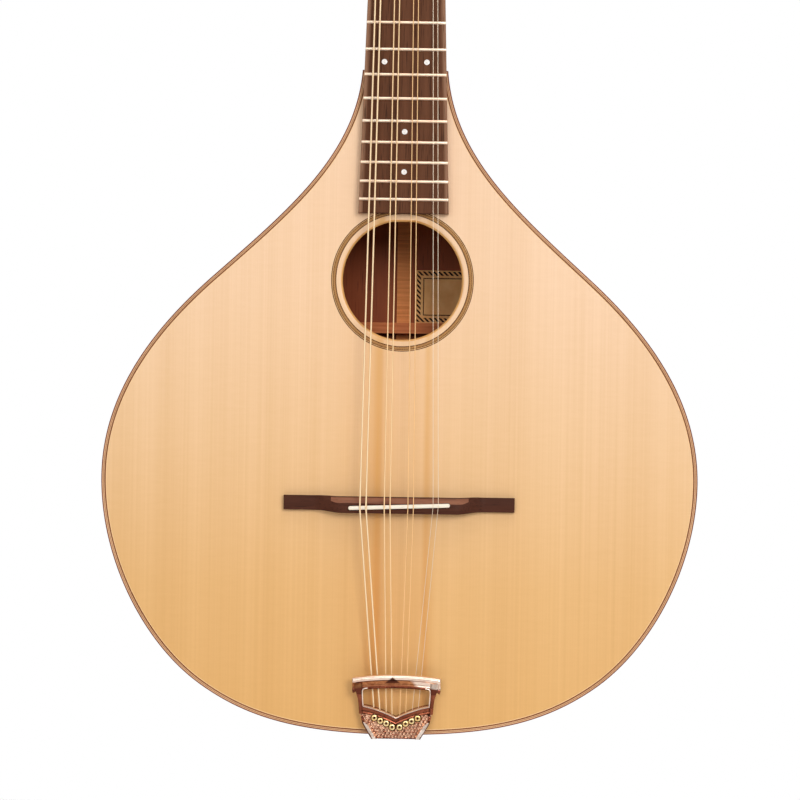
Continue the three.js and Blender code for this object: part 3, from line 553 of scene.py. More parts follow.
SPRUCE = spruce_top()
EDGE = end_grain()
MAHOGANY_BACK = mahogany("mahogany_back", (116, 58, 30), (160, 88, 48))
MAHOGANY_RIB = mahogany("mahogany_rib", (120, 62, 34), (168, 94, 54), "UV", (8, 260, 260), coat=0.1)
MAHOGANY_NECK = mahogany("mahogany_neck", (112, 60, 34), (158, 92, 54))
BARE_MAHOGANY = mahogany("mahogany_inside", (132, 62, 30), (160, 80, 42), coat=0.0)
STRIP_WOOD = plain_wood("centre_strip", (208, 122, 64), (240, 154, 88), scale=(20, 20, 900))
BRACE = plain_wood("brace_wood", (196, 148, 96), (226, 184, 132), scale=(30, 400, 400))
BACK_BRACE = plain_wood("back_brace_wood", (190, 100, 54), (222, 132, 80), scale=(20, 400, 400))
BINDING = edging("binding_wood", (206, 156, 114), (230, 184, 142))
BINDING_DARK = edging("binding_line_dark", (112, 62, 32), (136, 80, 46))
BINDING_LIGHT = edging("binding_line_light", (242, 194, 136), (252, 208, 152), coat=0.3)
# A dark colour for the binding's outer side and rounded corner: a painted shade.
BINDING_EDGE_SHADE = edging("binding_corner_painted_shade", (112, 50, 32), (138, 68, 46))
ROSETTE_DARK = plain_wood("rosette_line_dark", (84, 46, 20), (108, 64, 32), scale=200)
ROSETTE_LIGHT = plain_wood("rosette_line_light", (214, 164, 108), (234, 186, 130), scale=200)
ROSETTE_INLAY = rosette_inlay()
BOARD_WOOD = board_rosewood()
CROSSWISE = (12, 420, 420)
BRIDGE_WOOD = rosewood("bridge_rosewood", (60, 32, 22), (86, 49, 36), CROSSWISE, 0.42, specular=0.05)
# A lighter copy of the bridge's rosewood for its bevel: a painted highlight.
BRIDGE_PAINTED_HIGHLIGHT = rosewood("bridge_bevel_painted_highlight", (112, 68, 50), (150, 100, 76), CROSSWISE, 0.42, specular=0.1)
VENEER_WOOD = rosewood("veneer_rosewood", (72, 44, 32), (110, 72, 52), roughness=0.35, coat=0.3)
EBONY = rosewood("ebony", (26, 20, 18), (44, 34, 30), roughness=0.3)
BONE = bone()
PEARL = pearl()
FRET_METAL = metal("fret_nickel", (255, 224, 194), (255, 236, 212), 0.45, wear=0.004, stretch=(0.2, 1, 1))
BRASS = metal("tuner_brass", (196, 156, 88), (226, 190, 120), 0.28)
BALL_BRASS = metal("ball_brass", (255, 206, 128), (255, 236, 182), 0.34)
STEEL = metal("rod_steel", (150, 150, 152), (184, 184, 186), 0.35)
BRONZE = cast_bronze("cast_bronze", (112, 58, 42), (156, 88, 62), 0.24)
# A near-white copy of the bronze for edges and beads: a painted highlight.
BRONZE_HIGHLIGHT = cast_bronze("bronze_painted_highlight", (250, 220, 198), (255, 240, 226), 0.34)
# A lighter copy of the bronze for the tops of the hammered bumps: a painted highlight.
BRONZE_BUMP_HIGHLIGHT = cast_bronze("bronze_bump_painted_highlight", (196, 144, 116), (240, 196, 164), 0.3)
BRONZE_BAR = bar_bronze()
BRONZE_DEEP = cast_bronze("hollow_bronze", (70, 38, 28), (92, 52, 38), 0.45)
SCREW_BRONZE = metal("screw_bronze", (120, 78, 60), (160, 110, 84), 0.35)
PAPER = label_paper()
# One kind of wire for each pair of strings, bass to treble.
WIRES = (wound_wire("bass_wrap", (255, 230, 184), (222, 126, 58), 2.6),
         wound_wire("tenor_wrap", (255, 222, 168), (220, 122, 54), 3.4),
         wound_wire("alto_wrap", (255, 212, 150), (216, 116, 48), 4.6),
         plain_wire())

# ------------------------------------------------------------------ mesh helpers

def shade(mesh, sharp):
    """Smooth shading, but for edges bent more than sharp degrees."""
    mesh.polygons.foreach_set("use_smooth", [True] * len(mesh.polygons))
    mesh.set_sharp_from_angle(angle=math.radians(sharp))


def mesh_of(name, shape, sharp=35):
    """A mesh that faces out, from a shape's points in mm and its faces."""
    verts, faces = shape
    mesh = bpy.data.meshes.new(name)
    mesh.from_pydata([Vector(v) * MM for v in verts], [], faces)
    tidy = bmesh.new()
    tidy.from_mesh(mesh)
    bmesh.ops.recalc_face_normals(tidy, faces=tidy.faces)
    tidy.to_mesh(mesh)
    tidy.free()
    shade(mesh, sharp)
    return mesh


def put(name, mesh, replaces=(), body=ROOT, place=None):
    """An object that rides on a body. Its place is in metres."""
    made = bpy.data.objects.new(name, mesh)
    bpy.context.collection.objects.link(made)
    if place:
        made.matrix_world = place
    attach(made, body)
    if replaces:
        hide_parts(*replaces)
    return made


def piece(name, shape, materials, replaces=(), parts=None, uv=None, sharp=35):
    """A finished piece of the fixed body. parts gives each face's material and uv each point's place."""
    mesh = mesh_of(name, shape, sharp)
    for material in materials if isinstance(materials, list) else [materials]:
        mesh.materials.append(material)
    if parts:
        mesh.polygons.foreach_set("material_index", parts)
    if uv:
        layer = mesh.uv_layers.new(name="UVMap")
        for loop in mesh.loops:
            layer.data[loop.index].uv = uv[loop.vertex_index]
    return put(name, mesh, replaces)


def skin(rings, wrap=True, caps=True, loop=False):
    """Quads between rings of equal length. loop joins the last ring to the first."""
    size = len(rings[0])
    verts = [point for ring in rings for point in ring]
    faces = []
    last = len(rings) if loop else len(rings) - 1
    for row in range(last):
        a, b = row * size, ((row + 1) % len(rings)) * size
        for k in range(size if wrap else size - 1):
            n = (k + 1) % size
            faces.append((a + k, a + n, b + n, b + k))
    if caps and not loop:
        faces.append(tuple(range(size)))
        faces.append(tuple(reversed(range((len(rings) - 1) * size, len(rings) * size))))
    return verts, faces


def around(sides):
    """Cosine and sine of the corners of a round section."""
    angles = [2 * math.pi * k / sides for k in range(sides)]
    return [(math.cos(angle), math.sin(angle)) for angle in angles]


def turned(profile, sides=32, place=None, loop=False):
    """A profile of radius and height turned about z, then moved by place."""
    place = place or Matrix.Identity(4)
    rings = []
    for radius, height in profile:
        rings.append([place @ Vector((radius * x, radius * y, height)) for x, y in around(sides)])
    return skin(rings, loop=loop)


def merge(*shapes):
    verts, faces = [], []
    for more_verts, more_faces in shapes:
        start = len(verts)
        verts.extend(more_verts)
        faces.extend(tuple(i + start for i in face) for face in more_faces)
    return verts, faces


def moved(shape, place):
    return [place @ Vector(v) for v in shape[0]], shape[1]


def box(x0, x1, y0, y1, z0, z1):
    ring = ((x0, y0), (x1, y0), (x1, y1), (x0, y1))
    return skin([[(x, y, z) for x, y in ring] for z in (z0, z1)])


def tube(points, radius, sides):
    """A round wire through points, with each point's distance along it as the uv's x, in mm."""
    points = [Vector(p) for p in points]
    tangents = []
    for i in range(len(points)):
        ahead = points[min(i + 1, len(points) - 1)]
        behind = points[max(i - 1, 0)]
        tangents.append((ahead - behind).normalized())
    normal = tangents[0].orthogonal().normalized()
    rings, along, uv = [], 0.0, []
    for i, point in enumerate(points):
        if i:
            normal = (normal - tangents[i] * normal.dot(tangents[i])).normalized()
            along += (point - points[i - 1]).length
        side = tangents[i].cross(normal)
        rings.append([point + radius * (x * normal + y * side) for x, y in around(sides)])
        uv.extend((along, k / sides) for k in range(sides))
    return skin(rings), uv


def bezier(p0, p1, p2, p3, t):
    s = 1 - t
    weights = (s ** 3, 3 * s * s * t, 3 * s * t * t, t ** 3)
    return tuple(sum(w * c for w, c in zip(weights, controls)) for controls in zip(p0, p1, p2, p3))


def bezier_slope(p0, p1, p2, p3, t):
    s = 1 - t
    weights = (3 * s * s, 6 * s * t, 3 * t * t)
    legs = [(b[0] - a[0], b[1] - a[1]) for a, b in ((p0, p1), (p1, p2), (p2, p3))]
    return tuple(sum(w * leg[axis] for w, leg in zip(weights, legs)) for axis in (0, 1))


def slab(outline, front, back, place=None, round_front=0.0, round_back=0.0):
    """A plate with an outline in x and z. Its front and back edges are rounded by shrinking the outline."""
    place = place or Matrix.Identity(4)
    count = len(outline)
    centre = Vector((sum(p[0] for p in outline) / count, sum(p[1] for p in outline) / count))

    def inward(i):
        a, b = Vector(outline[i - 1]), Vector(outline[(i + 1) % count])
        along = (b - a).normalized()
        normal = Vector((-along.y, along.x))
        return normal if normal.dot(centre - Vector(outline[i])) > 0 else -normal

    normals = [inward(i) for i in range(count)]

    def ring(inset, y):
        shrunk = [Vector(outline[i]) + normals[i] * inset for i in range(count)]
        return [place @ Vector((p.x, y, p.y)) for p in shrunk]

    turns = steps(0.0, math.pi / 2, 4)
    rings = []
    if round_front:
        for turn in turns[:-1]:
            rings.append(ring(round_front * (1 - math.sin(turn)), front + round_front * (1 - math.cos(turn))))
    rings += [ring(0, front + round_front), ring(0, back - round_back)]
    if round_back:
        for turn in turns[1:]:
            rings.append(ring(round_back * (1 - math.cos(turn)), back - round_back * (1 - math.sin(turn))))
    return skin(rings)


def screw(name, place, radius, turn=0.5):
    """A domed, slotted brass screw head that faces along the place's z."""
    profile = [(radius, -0.25), (radius, 0.1), (radius * 0.8, 0.34), (radius * 0.45, 0.45), (0.05, 0.48)]
    piece(name, turned(profile, 24, place), BRASS)
    # No slot is cut: a dark ebony box stands out of the dome along it, a painted shade.
    groove = box(-radius * 0.82, radius * 0.82, -radius * 0.11, radius * 0.11, 0.2, 0.5)
    piece(f"{name}_slot", moved(groove, place @ Matrix.Rotation(turn, 4, "Z")), EBONY)


# ------------------------------------------------------------------ body

RIM_CURVES = (
    ((NECK_END_HALF, BODY_END), (30.9, -314), (71.3, -348.6), (118.3, -391)),
    ((118.3, -391), (148.2, -418), (186.8, -460.5), (186.8, -517.5)),
    ((186.8, -517.5), (186.8, -568.3), (160.2, -620.3), (125.1, -645.9)),
    ((125.1, -645.9), (94.5, -668.0), (60.7, TAIL_END), (0, TAIL_END)),
)
RIM_STEPS = 44


def rim(inset):
    """The treble half of the outline from the neck end to the tail, moved inwards."""
    points = []
    for curve in RIM_CURVES:
        for i in range(RIM_STEPS):
            x, z = bezier(*curve, i / RIM_STEPS)
            dx, dz = bezier_slope(*curve, i / RIM_STEPS)
            length = math.hypot(dx, dz)
            points.append((x + dz / length * inset, z - dx / length * inset))
    points[0] = (points[0][0], BODY_END - inset)
    points.append((0.0, TAIL_END + inset))
    return points


def whole_rim(inset):
    half = rim(inset)
    return half + [(-x, z) for x, z in reversed(half[:-1])]


def path_lengths(points):
    lengths = [0.0]
    for a, b in zip(points, points[1:]):
        lengths.append(lengths[-1] + math.dist(a, b))
    return lengths


def rim_sweep(profile, strip_kinds, closed_rim=True, side=1):
    """A moulding round the outline. profile is a closed loop of (inset, y) with a material for each strip."""
    rings, uv = [], []
    for inset, y in profile:
        points = whole_rim(inset) if closed_rim else rim(inset)
        rings.append([(side * x, y, z) for x, z in points])
        uv.extend((length * MM, (y + inset) * MM) for length in path_lengths(points))
    verts, faces = skin(rings, wrap=closed_rim, caps=False, loop=True)
    size = len(rings[0])
    per_strip = size if closed_rim else size - 1
    parts = [kind for kind in strip_kinds for _ in range(per_strip)]
    if not closed_rim:
        for k in (0, size - 1):
            faces.append(tuple(row * size + k for row in range(len(rings))))
            parts.append(0)
    return verts, faces, parts, uv


def make_bindings():
    """Wood binding with its purfling lines, flush with the plate it edges."""
    profile = [(0.0, BINDING_HEIGHT), (0.0, 0.8), (0.12, 0.35), (0.35, 0.1), (0.75, 0.0), (1.35, 0.0),
               (1.62, 0.0), (2.1, 0.0), (2.9, 0.0), (BINDING_WIDTH, 0.0), (BINDING_WIDTH, 1.0),
               (BINDING_WIDTH - 0.6, BINDING_HEIGHT)]
    # The first four strips, the outer side and rounded corner, take the painted shade.
    wood = [BINDING, BINDING_DARK, BINDING_LIGHT, BINDING_EDGE_SHADE]
    verts, faces, parts, uv = rim_sweep(profile, [3, 3, 3, 3, 0, 1, 0, 1, 2, 2, 0, 0])
    turned_over = [(x, BODY_DEPTH - y, z) for x, y, z in verts]
    for face, points in (("front", verts), ("back", turned_over)):
        piece(f"{face}_binding_and_purfling", (points, faces), wood, (f"{face}_binding",),
              parts, uv, sharp=60)


def make_ribs():
    """The bent sides, edged with a dark line at each binding, and the short end behind the heel."""
    front, back = BINDING_HEIGHT, BODY_DEPTH - BINDING_HEIGHT
    near, far, line = front + 0.01, back - 0.01, 0.7
    profile = [(0, near), (0, near + line), (0, far - line), (0, far),
               (RIB_THICKNESS, far), (RIB_THICKNESS, near)]
    wood = [MAHOGANY_RIB, BINDING_DARK]
    for side, name in ((-1, "bass"), (1, "treble")):
        verts, faces, parts, uv = rim_sweep(profile, [1, 0, 1, 0, 0, 0], closed_rim=False, side=side)
        piece(f"{name}_side", (verts, faces), wood, (f"{name}_rib",), parts, uv)
    half = NECK_END_HALF - 0.4
    end = box(-half, half, front, back, BODY_END - RIB_THICKNESS, BODY_END - 0.02)
    piece("side_end_under_heel", end, MAHOGANY_NECK)


def make_soundboard():
    """The spruce plate, with its hole's edge rounded, drawn as rings from the hole out to the purfling."""
    outline = whole_rim(BINDING_WIDTH)
    angles = [math.atan2(z - HOLE_Z, x) for x, z in outline]
    soft, soft_steps = 2.4, 8
    circles = [(HOLE_RADIUS, PLATE), (HOLE_RADIUS, soft)]
    for turn in steps(0.0, math.pi / 2, soft_steps)[1:]:
        circles.append((HOLE_RADIUS + soft * (1 - math.cos(turn)), soft * (1 - math.sin(turn))))
    circles += [(ROSETTE_INNER, 0.0), (ROSETTE_OUTER, 0.0)]
    rings = []
    for radius, y in circles:
        rings.append([(radius * math.cos(a), y, HOLE_Z + radius * math.sin(a)) for a in angles])
    rings += [[(x, y, z) for x, z in outline] for y in (0.0, PLATE)]
    cut_rows = 6
    parts = [1 if row < cut_rows else 0 for row in range(len(rings)) for _ in outline]
    shape = skin(rings, caps=False, loop=True)
    piece("spruce_plate", shape, [SPRUCE, EDGE], ("soundboard",), parts, sharp=50)


def make_rosette():
    """Thin dark and light lines round a band of slanting inlay."""
    dark, light, inlay = range(3)
    bands = ((0.0, 0.5, dark), (0.5, 2.0, inlay), (2.0, 2.3, dark), (2.3, 2.75, light), (2.75, 3.25, dark))
    middle = (ROSETTE_INNER + ROSETTE_OUTER) / 2
    sides = 192
    shapes, parts, uv = [], [], []
    for inner, outer, kind in bands:
        rings = []
        for width in (inner, outer):
            radius = ROSETTE_INNER + width
            rings.append([(radius * x, -0.03, HOLE_Z + radius * z) for x, z in around(sides)])
            uv.extend((2 * math.pi * k / sides * middle, width) for k in range(sides))
        shapes.append(skin(rings, caps=False))
        parts += [kind] * sides
    wood = [ROSETTE_DARK, ROSETTE_LIGHT, ROSETTE_INLAY]
    ring = piece("rosette_rings", merge(*shapes), wood, ("rosette",), parts, uv)
    thick = ring.modifiers.new("depth", "SOLIDIFY")
    thick.thickness = 0.5 * MM
    thick.offset = -1.0


def make_back():
    """The back in rows from side to side, bare inside, with a pale line down its middle."""
    half = rim(BINDING_WIDTH)
    inner, outer = BODY_DEPTH - PLATE, BODY_DEPTH
    rings = []
    for x, z in half[:-1] + [(0.02, half[-1][1])]:
        rings.append([(-x, inner, z), (x, inner, z), (x, outer, z), (-x, outer, z)])
    parts = [1, 0, 0, 0] * (len(rings) - 1) + [0, 0]
    wood = [MAHOGANY_BACK, BARE_MAHOGANY]
    piece("mahogany_back_plate", skin(rings), wood, ("back",), parts)
    line = box(-0.5, 0.5, outer - 0.4, outer + 0.01, TAIL_END + BINDING_WIDTH, BODY_END - BINDING_WIDTH)
    piece("back_centre_line", line, BINDING_LIGHT)


def dress(names, material, bevel):
    """Gives CAD nodes that stay their material, and edges softened by bevel in mm."""
    for name in names:
        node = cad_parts[name]
        node.data.materials.clear()
        node.data.materials.append(material)
        if bevel:
            modifier = node.modifiers.new("edges", "BEVEL")
            modifier.width = bevel * MM
            modifier.segments = 2
            modifier.limit_method = "ANGLE"
            modifier.angle_limit = math.radians(40)


def make_inside():
    """What lies inside the body, which keeps its CAD shape."""
    dress(["front_lining_bass", "front_lining_treble", "back_lining_bass", "back_lining_treble",
           "tone_bar_bass", "tone_bar_treble", "upper_top_brace", "lower_top_brace"], BRACE, 0.4)
    dress(["back_brace_1", "back_brace_2", "back_brace_3"], BACK_BRACE, 1.2)
    dress(["neck_block", "tail_block"], MAHOGANY_NECK, 0.4)
    dress(["back_centre_strip"], STRIP_WOOD, 0.3)
    dress(["label"], PAPER, 0.0)
    dress(["truss_rod"], STEEL, 0.2)


make_bindings()
make_ribs()
make_soundboard()
make_rosette()
make_back()
make_inside()

# ------------------------------------------------------------------ neck, heel and head

# Depth behind the fingerboard, half width, reach up the neck, and how pointed the section is.
HEEL_ROWS = ((3, 25.0, 62, 2.0), (10, 25.0, 56, 2.0), (16, 24.4, 48, 1.9), (21, 22.6, 38, 1.7),
             (27, 20.2, 30, 1.4), (34, 17.8, 25, 1.15), (45, 14.9, 20.3, 1.0), (60, 12.9, 17, 0.9),
             (76, 12.0, 15.5, 0.9))


def board_half(z):
    return lerp(NUT_HALF, END_HALF, z / BOARD_END)


def d_ring(half, depth, pointed, sides=48, curved=36):
    """A D-section as (across, away) pairs: over the curved side, then back along the flat."""
    ring = []
    for k in range(curved + 1):
        angle = math.pi * k / curved
        ring.append((half * math.cos(angle), depth * abs(math.sin(angle)) ** pointed))
    for k in range(1, sides - curved):
        ring.append((half * (2 * k / (sides - curved) - 1), 0.0))
    return ring


def heel_row(y):
    """Half width, reach and pointedness of the heel at a depth."""
    for low, high in zip(HEEL_ROWS, HEEL_ROWS[1:]):
        if y <= high[0]:
            t = (y - low[0]) / (high[0] - low[0])
            return [lerp(a, b, t) for a, b in zip(low[1:], high[1:])]
    return HEEL_ROWS[-1][1:]


def head_outline(low):
    """The treble half of the head's outline from low upwards, then the bass half back down."""
    count = 14
    foot, top = 4.0, HEAD_LENGTH
    flare = ((HEAD_FOOT_HALF, foot), (HEAD_FOOT_HALF, 16), (33, 14), (34, 30))
    crown = ((36.5, top - 22), (36.8, top - 8), (24, top - 0.6), (0, top))
    half = [(HEAD_FOOT_HALF, low)]
    if low < foot:
        half.append((HEAD_FOOT_HALF, foot))
    half += [(x, w) for x, w in (bezier(*flare, i / count) for i in range(1, count + 1)) if w > low + 0.5]
    half += [bezier(*crown, i / count) for i in range(count)]
    return half + [(0.0, top)] + [(-x, w) for x, w in reversed(half)]


def neck_lofts():
    """Shaft, heel, throat and head, overlapping one another."""
    shaft = []
    for t in steps(0.0, 1.0, 40):
        z = lerp(HEAD_START - 0.4, HEEL_TOP, t)
        section = d_ring(board_half(min(z, 0.0)) - 0.1, lerp(14.5, 17.5, t), 0.8)
        shaft.append([(x, y, z) for x, y in section])
    heel = []
    for y in steps(3.0, 76.0, 36):
        heel.append([(x, y, HEEL_TOP + z) for x, z in d_ring(*heel_row(y))])
    throat = []
    for t in steps(0.0, 1.0, 18):
        section = d_ring(17.5, lerp(14.5, HEAD_BACK, smooth(t)), lerp(0.8, 0.22, smooth(t)))
        throat.append([HEAD @ Vector((x, max(y, 2.05), lerp(-7, 15, t))) for x, y in section])
    head = slab(head_outline(9), 2.05, HEAD_BACK, HEAD, round_back=1.2)
    return merge(skin(shaft), skin(heel), skin(throat), head)


def make_neck():
    """Neck, heel and head wood in one: the lofts melted together by a fine remesh."""
    source = bpy.data.objects.new("neck_source", mesh_of("neck_wood", neck_lofts()))
    bpy.context.collection.objects.link(source)
    remesh = source.modifiers.new("remesh", "REMESH")
    remesh.mode = "VOXEL"
    remesh.voxel_size = 1.0 * MM
    soft = source.modifiers.new("soft", "SMOOTH")
    soft.factor = 0.5
    soft.iterations = 6
    depsgraph = bpy.context.evaluated_depsgraph_get()
    mesh = bpy.data.meshes.new_from_object(source.evaluated_get(depsgraph))
    bpy.data.objects.remove(source)
    mesh.name = "neck_heel_and_head"
    mesh.materials.clear()
    mesh.materials.append(MAHOGANY_NECK)
    shade(mesh, 50)
    put("neck_heel_and_head", mesh, ("neck",))


def make_heel_cap():
    """The rosewood plate on the heel's end."""
    rings = []
    for inset, y in ((0.8, 76.2), (0.0, 76.5), (0.0, 78.6), (0.3, 79.1), (0.9, 79.3)):
        rings.append([(x, y, HEEL_TOP + z) for x, z in d_ring(12.1 - inset, 15.6 - inset, 0.9)])
    piece("heel_cap_plate", skin(rings), VENEER_WOOD, ("heel_cap",))


def fret_z(n):
    return -SCALE_LENGTH * (1 - 2 ** (-n / 12))


def make_frets():
    """Round-crowned wire across the board, a little lower at its very ends."""
    half_width, sunk, segments = 0.95, 0.3, 12
    for n in range(1, FRETS + 1):
        z = fret_z(n)
        reach = board_half(z) - 0.15
        rings = []
        for s, x in enumerate(steps(-reach, reach, segments)):
            crown = 0.6 if s in (0, segments) else 1.1
            ring = []
            for angle in steps(0.0, math.pi, 8):
                ring.append((x, BOARD_TOP - crown * math.sin(angle), z + half_width * math.cos(angle)))
            ring += [(x, BOARD_TOP + sunk, z - half_width), (x, BOARD_TOP + sunk, z + half_width)]
            rings.append(ring)
        piece(f"fret_{n:02d}", skin(rings), FRET_METAL)


def make_fingerboard():
    """The board with its frets, and a dot between each marked fret and the one before it."""
    outline = [(-NUT_HALF, 0.0), (-END_HALF, BOARD_END), (END_HALF, BOARD_END), (NUT_HALF, 0.0)]
    board = slab(outline, BOARD_TOP, -0.05, round_front=0.35)
    piece("fingerboard_wood", board, BOARD_WOOD, ("fingerboard",), sharp=30)
    make_frets()
    profile = [(0.1, 0.0), (1.45, 0.0), (1.7, -0.04), (1.7, -0.6), (0.1, -0.6)]
    places = [(n, 0.0) for n in (3, 5, 7, 9, 15, 17)] + [(12, -13.2), (12, 13.2)]
    for i, (n, x) in enumerate(places):
        z = (fret_z(n) + fret_z(n - 1)) / 2
        disc = turned(profile, 32, Matrix.Translation((x, BOARD_TOP - 0.06, z)) @ Z_TO_FRONT)
        piece(f"position_dot_{i + 1}", disc, PEARL)


def string_places():
    """(number, gauge, nut x, saddle x, ball x, ball z, side, post row) for each string, bass to treble."""
    places = []
    for pair, (gauge, nut_x, nut_half, saddle_x, saddle_half, balls) in enumerate(COURSES):
        side = -1 if pair < 2 else 1
        for n, hand in enumerate((-1, 1)):
            index = 2 * pair + n
            row = index if side < 0 else 7 - index
            places.append((index + 1, gauge, nut_x + hand * nut_half, saddle_x + hand * saddle_half,
                           *balls[n], side, row))
    return places


def make_nut():
    """A bone bar with a round-bottomed slot for each string, sloping back towards the head."""
    rings = []
    for x in steps(-NUT_HALF, NUT_HALF, 240):
        top = NUT_TOP + 0.8 * smooth((abs(x) - NUT_HALF + 1.2) / 1.2)
        for _, gauge, nut_x, *_ in string_places():
            reach = gauge / 2 + 0.12
            if abs(x - nut_x) < reach:
                top = max(top, STRING_NUT + 0.05 - gauge / 2 + math.sqrt(reach ** 2 - (x - nut_x) ** 2))
        section = ((-0.1, 0.05), (top + 0.9, 0.05), (top + 0.3, 0.25), (top, 0.8), (top, 3.6),
                   (top + 0.5, 4.8), (top + 1.2, NUT_BACK), (-0.1, NUT_BACK + 0.05))
        rings.append([(x, y, z) for y, z in section])
    piece("bone_nut", skin(rings), BONE, ("nut",), sharp=50)


def make_head():
    """The veneer on the head's face, and the rod cover with its three screws."""
    veneer = slab(head_outline(0.5), 0.0, 2.0, HEAD, round_front=0.5)
    piece("head_face", veneer, VENEER_WOOD, ("head_veneer",), sharp=30)
    count = 18
    corner = (8, 1.5)
    half = [corner] + [bezier(corner, (8, 14), (4, 20), (0, 30), i / count) for i in range(1, count + 1)]
    outline = half + [(-x, w) for x, w in reversed(half[:-1])]
    cover = slab(outline, -2.1, -0.05, HEAD, round_front=0.5)
    piece("rod_cover_plate", cover, EBONY, ("truss_rod_cover",), sharp=30)
    for i, (x, w) in enumerate(((-5.2, 4.6), (5.2, 4.6), (0, 24.0))):
        screw(f"rod_cover_screw_{i + 1}", HEAD @ Matrix.Translation((x, -2.05, w)) @ Z_TO_FRONT, 1.3)


make_neck()
make_heel_cap()
make_fingerboard()
make_nut()
make_head()

# ------------------------------------------------------------------ bridge and saddle

def make_bridge():
    """Low wings swept up to a raised middle, with the neck side of the middle bevelled and coloured lighter
    as a painted highlight.
    """
    count, edge, highlight_half = 180, 0.4, 43
    rings = []
    for x in steps(-BRIDGE_HALF, BRIDGE_HALF, count):
        away = abs(x)
        rise = smooth((54 - away) / 20)
        height = lerp(BRIDGE_WING, BRIDGE_HEIGHT, rise ** 0.9)
        middle = BRIDGE_Z - 0.9 * smooth((50 - away) / 14)
        high = middle + lerp(4.5, 5.0, rise)
        low = middle - lerp(4.5, 5.0, smooth((52 - away) / 16))
        swell = smooth((50 - away) / 12)
        shoulder = high - 3.4 * swell - edge
        drop = 4.0 * swell
        rings.append([(x, -0.05, high), (x, -height + drop + edge, high), (x, -height + drop, high - edge),
                      (x, -height + 0.15, shoulder), (x, -height, shoulder - edge), (x, -height, low + edge),
                      (x, -height + edge, low), (x, -0.05, low)])
    for end, beside, inward in ((0, 1, edge), (-1, -2, -edge)):
        rings[end] = [(x, min(y + 0.3, -0.05), z) for x, y, z in rings[end]]
        rings[beside] = [(rings[end][0][0] + inward, y, z) for _, y, z in rings[beside]]
    bevel_strip = 2
    parts = []
    for ring in rings[:-1]:
        parts += [0] * len(ring)
        # The bevel faces take the painted highlight.
        if abs(ring[0][0]) < highlight_half:
            parts[bevel_strip - len(ring)] = 1
    wood = [BRIDGE_WOOD, BRIDGE_PAINTED_HIGHLIGHT]
    piece("bridge_wood", skin(rings), wood, ("bridge",), parts + [0, 0], sharp=28)


def make_saddle():
    """A bone strip with round ends, let into the bridge, and the dark edge of its slot."""
    place = Matrix.Translation((0, 0, SADDLE_Z)) @ Matrix.Rotation(-SADDLE_SLANT, 4, "Y")
    reach, half = 30.4, 1.2
    outline = []
    for end, start in ((1, -90), (-1, 90)):
        for k in range(13):
            angle = math.radians(start + 180 * k / 12)
            outline.append((end * reach + half * math.cos(angle), half * math.sin(angle)))
    strip = slab(outline, STRING_SADDLE + 0.02, -6.0, place, round_front=0.7)
    piece("bone_saddle", strip, BONE, ("saddle",), sharp=40)
    gap = [(x * 1.006, z * 1.18) for x, z in outline]
    piece("saddle_slot_edge", slab(gap, -BRIDGE_HEIGHT - 0.02, -8.0, place), EBONY)


# ------------------------------------------------------------------ tailpiece

# The tailpiece's materials, in the order of TAIL_BRONZE: patina, a painted highlight, painted highlights on
# the hammered bumps, dark hollows, and the bar's bronze with its painted light and wear.
PATINA, PAINTED_HIGHLIGHT, BUMP_HIGHLIGHT, HOLLOW, BAR_PAINTED_LIGHT_AND_WEAR = range(5)
TAIL_BRONZE = [BRONZE, BRONZE_HIGHLIGHT, BRONZE_BUMP_HIGHLIGHT, BRONZE_DEEP, BRONZE_BAR]
# z, and the lower plate's half width there.
PLATE_SIDES = ((-656.0, 24.2), (-661.5, 22.6), (-669.0, 20.9), (TAIL_FOOT_END, 15.2))


def lip_edge(x):
    """Upper edge of the tailpiece's lower plate: two convex sweeps that meet in a V."""
    s = abs(x) / LIP_HALF
    return LIP_Z + 6.1 * (1 - (1 - s) ** 1.55) + 1.1 * s


def plate_half(z):
    """Half width of the tailpiece's lower plate at z."""
    for (z0, h0), (z1, h1) in zip(PLATE_SIDES, PLATE_SIDES[1:]):
        if z >= z1:
            return lerp(h0, h1, (z - z0) / (z1 - z0))
    return PLATE_SIDES[-1][1]


def hammered_bumps():
    """Centres of the bumps left between hammer blows: staggered rows, each a little off its place."""
    random.seed(11)
    pitch = 2.15
    bumps = []
    row, z = 0, -662.0
    while z > -681:
        for k in range(-14, 15):
            x = (k + 0.5 * (row % 2)) * pitch + random.uniform(-0.25, 0.25)
            bumps.append((x, z + random.uniform(-0.25, 0.25)))
        z -= pitch * 0.86
        row += 1
    return bumps


def plate_surface(x, z, below, bumps):
    """Height and material of the lower plate at a distance below the V: bead, smooth band, then hammered."""
    bead, valley, band = 0.75, 1.2, 4.4
    if below < bead:
        # The bead takes a painted highlight.
        return -6.6 - 1.6 * math.sin(math.pi / 2 * min(below / 0.4, 1.0)), PAINTED_HIGHLIGHT if abs(x) < 20.6 else PATINA
    if below < valley:
        return lerp(-8.2, -7.5, smooth((below - bead) / 0.45)), PATINA
    if below < band:
        t = (below - valley) / (band - valley)
        return lerp(-7.5, -7.3, t) + 0.35 * math.sin(math.pi * t), PATINA
    near = min((x - bx) ** 2 + (z - bz) ** 2 for bx, bz in bumps)
    bump = math.exp(-near / 0.7)
    y = lerp(-7.3, -6.2, smooth((below - band) / 0.7)) + 0.8 * bump * smooth((below - 4.9) / 0.6) - 0.15
    # Bump tops take the painted highlight; the gaps between them keep the patina.
    return y, HOLLOW if below < 5.0 else BUMP_HIGHLIGHT if bump > 0.3 else PATINA


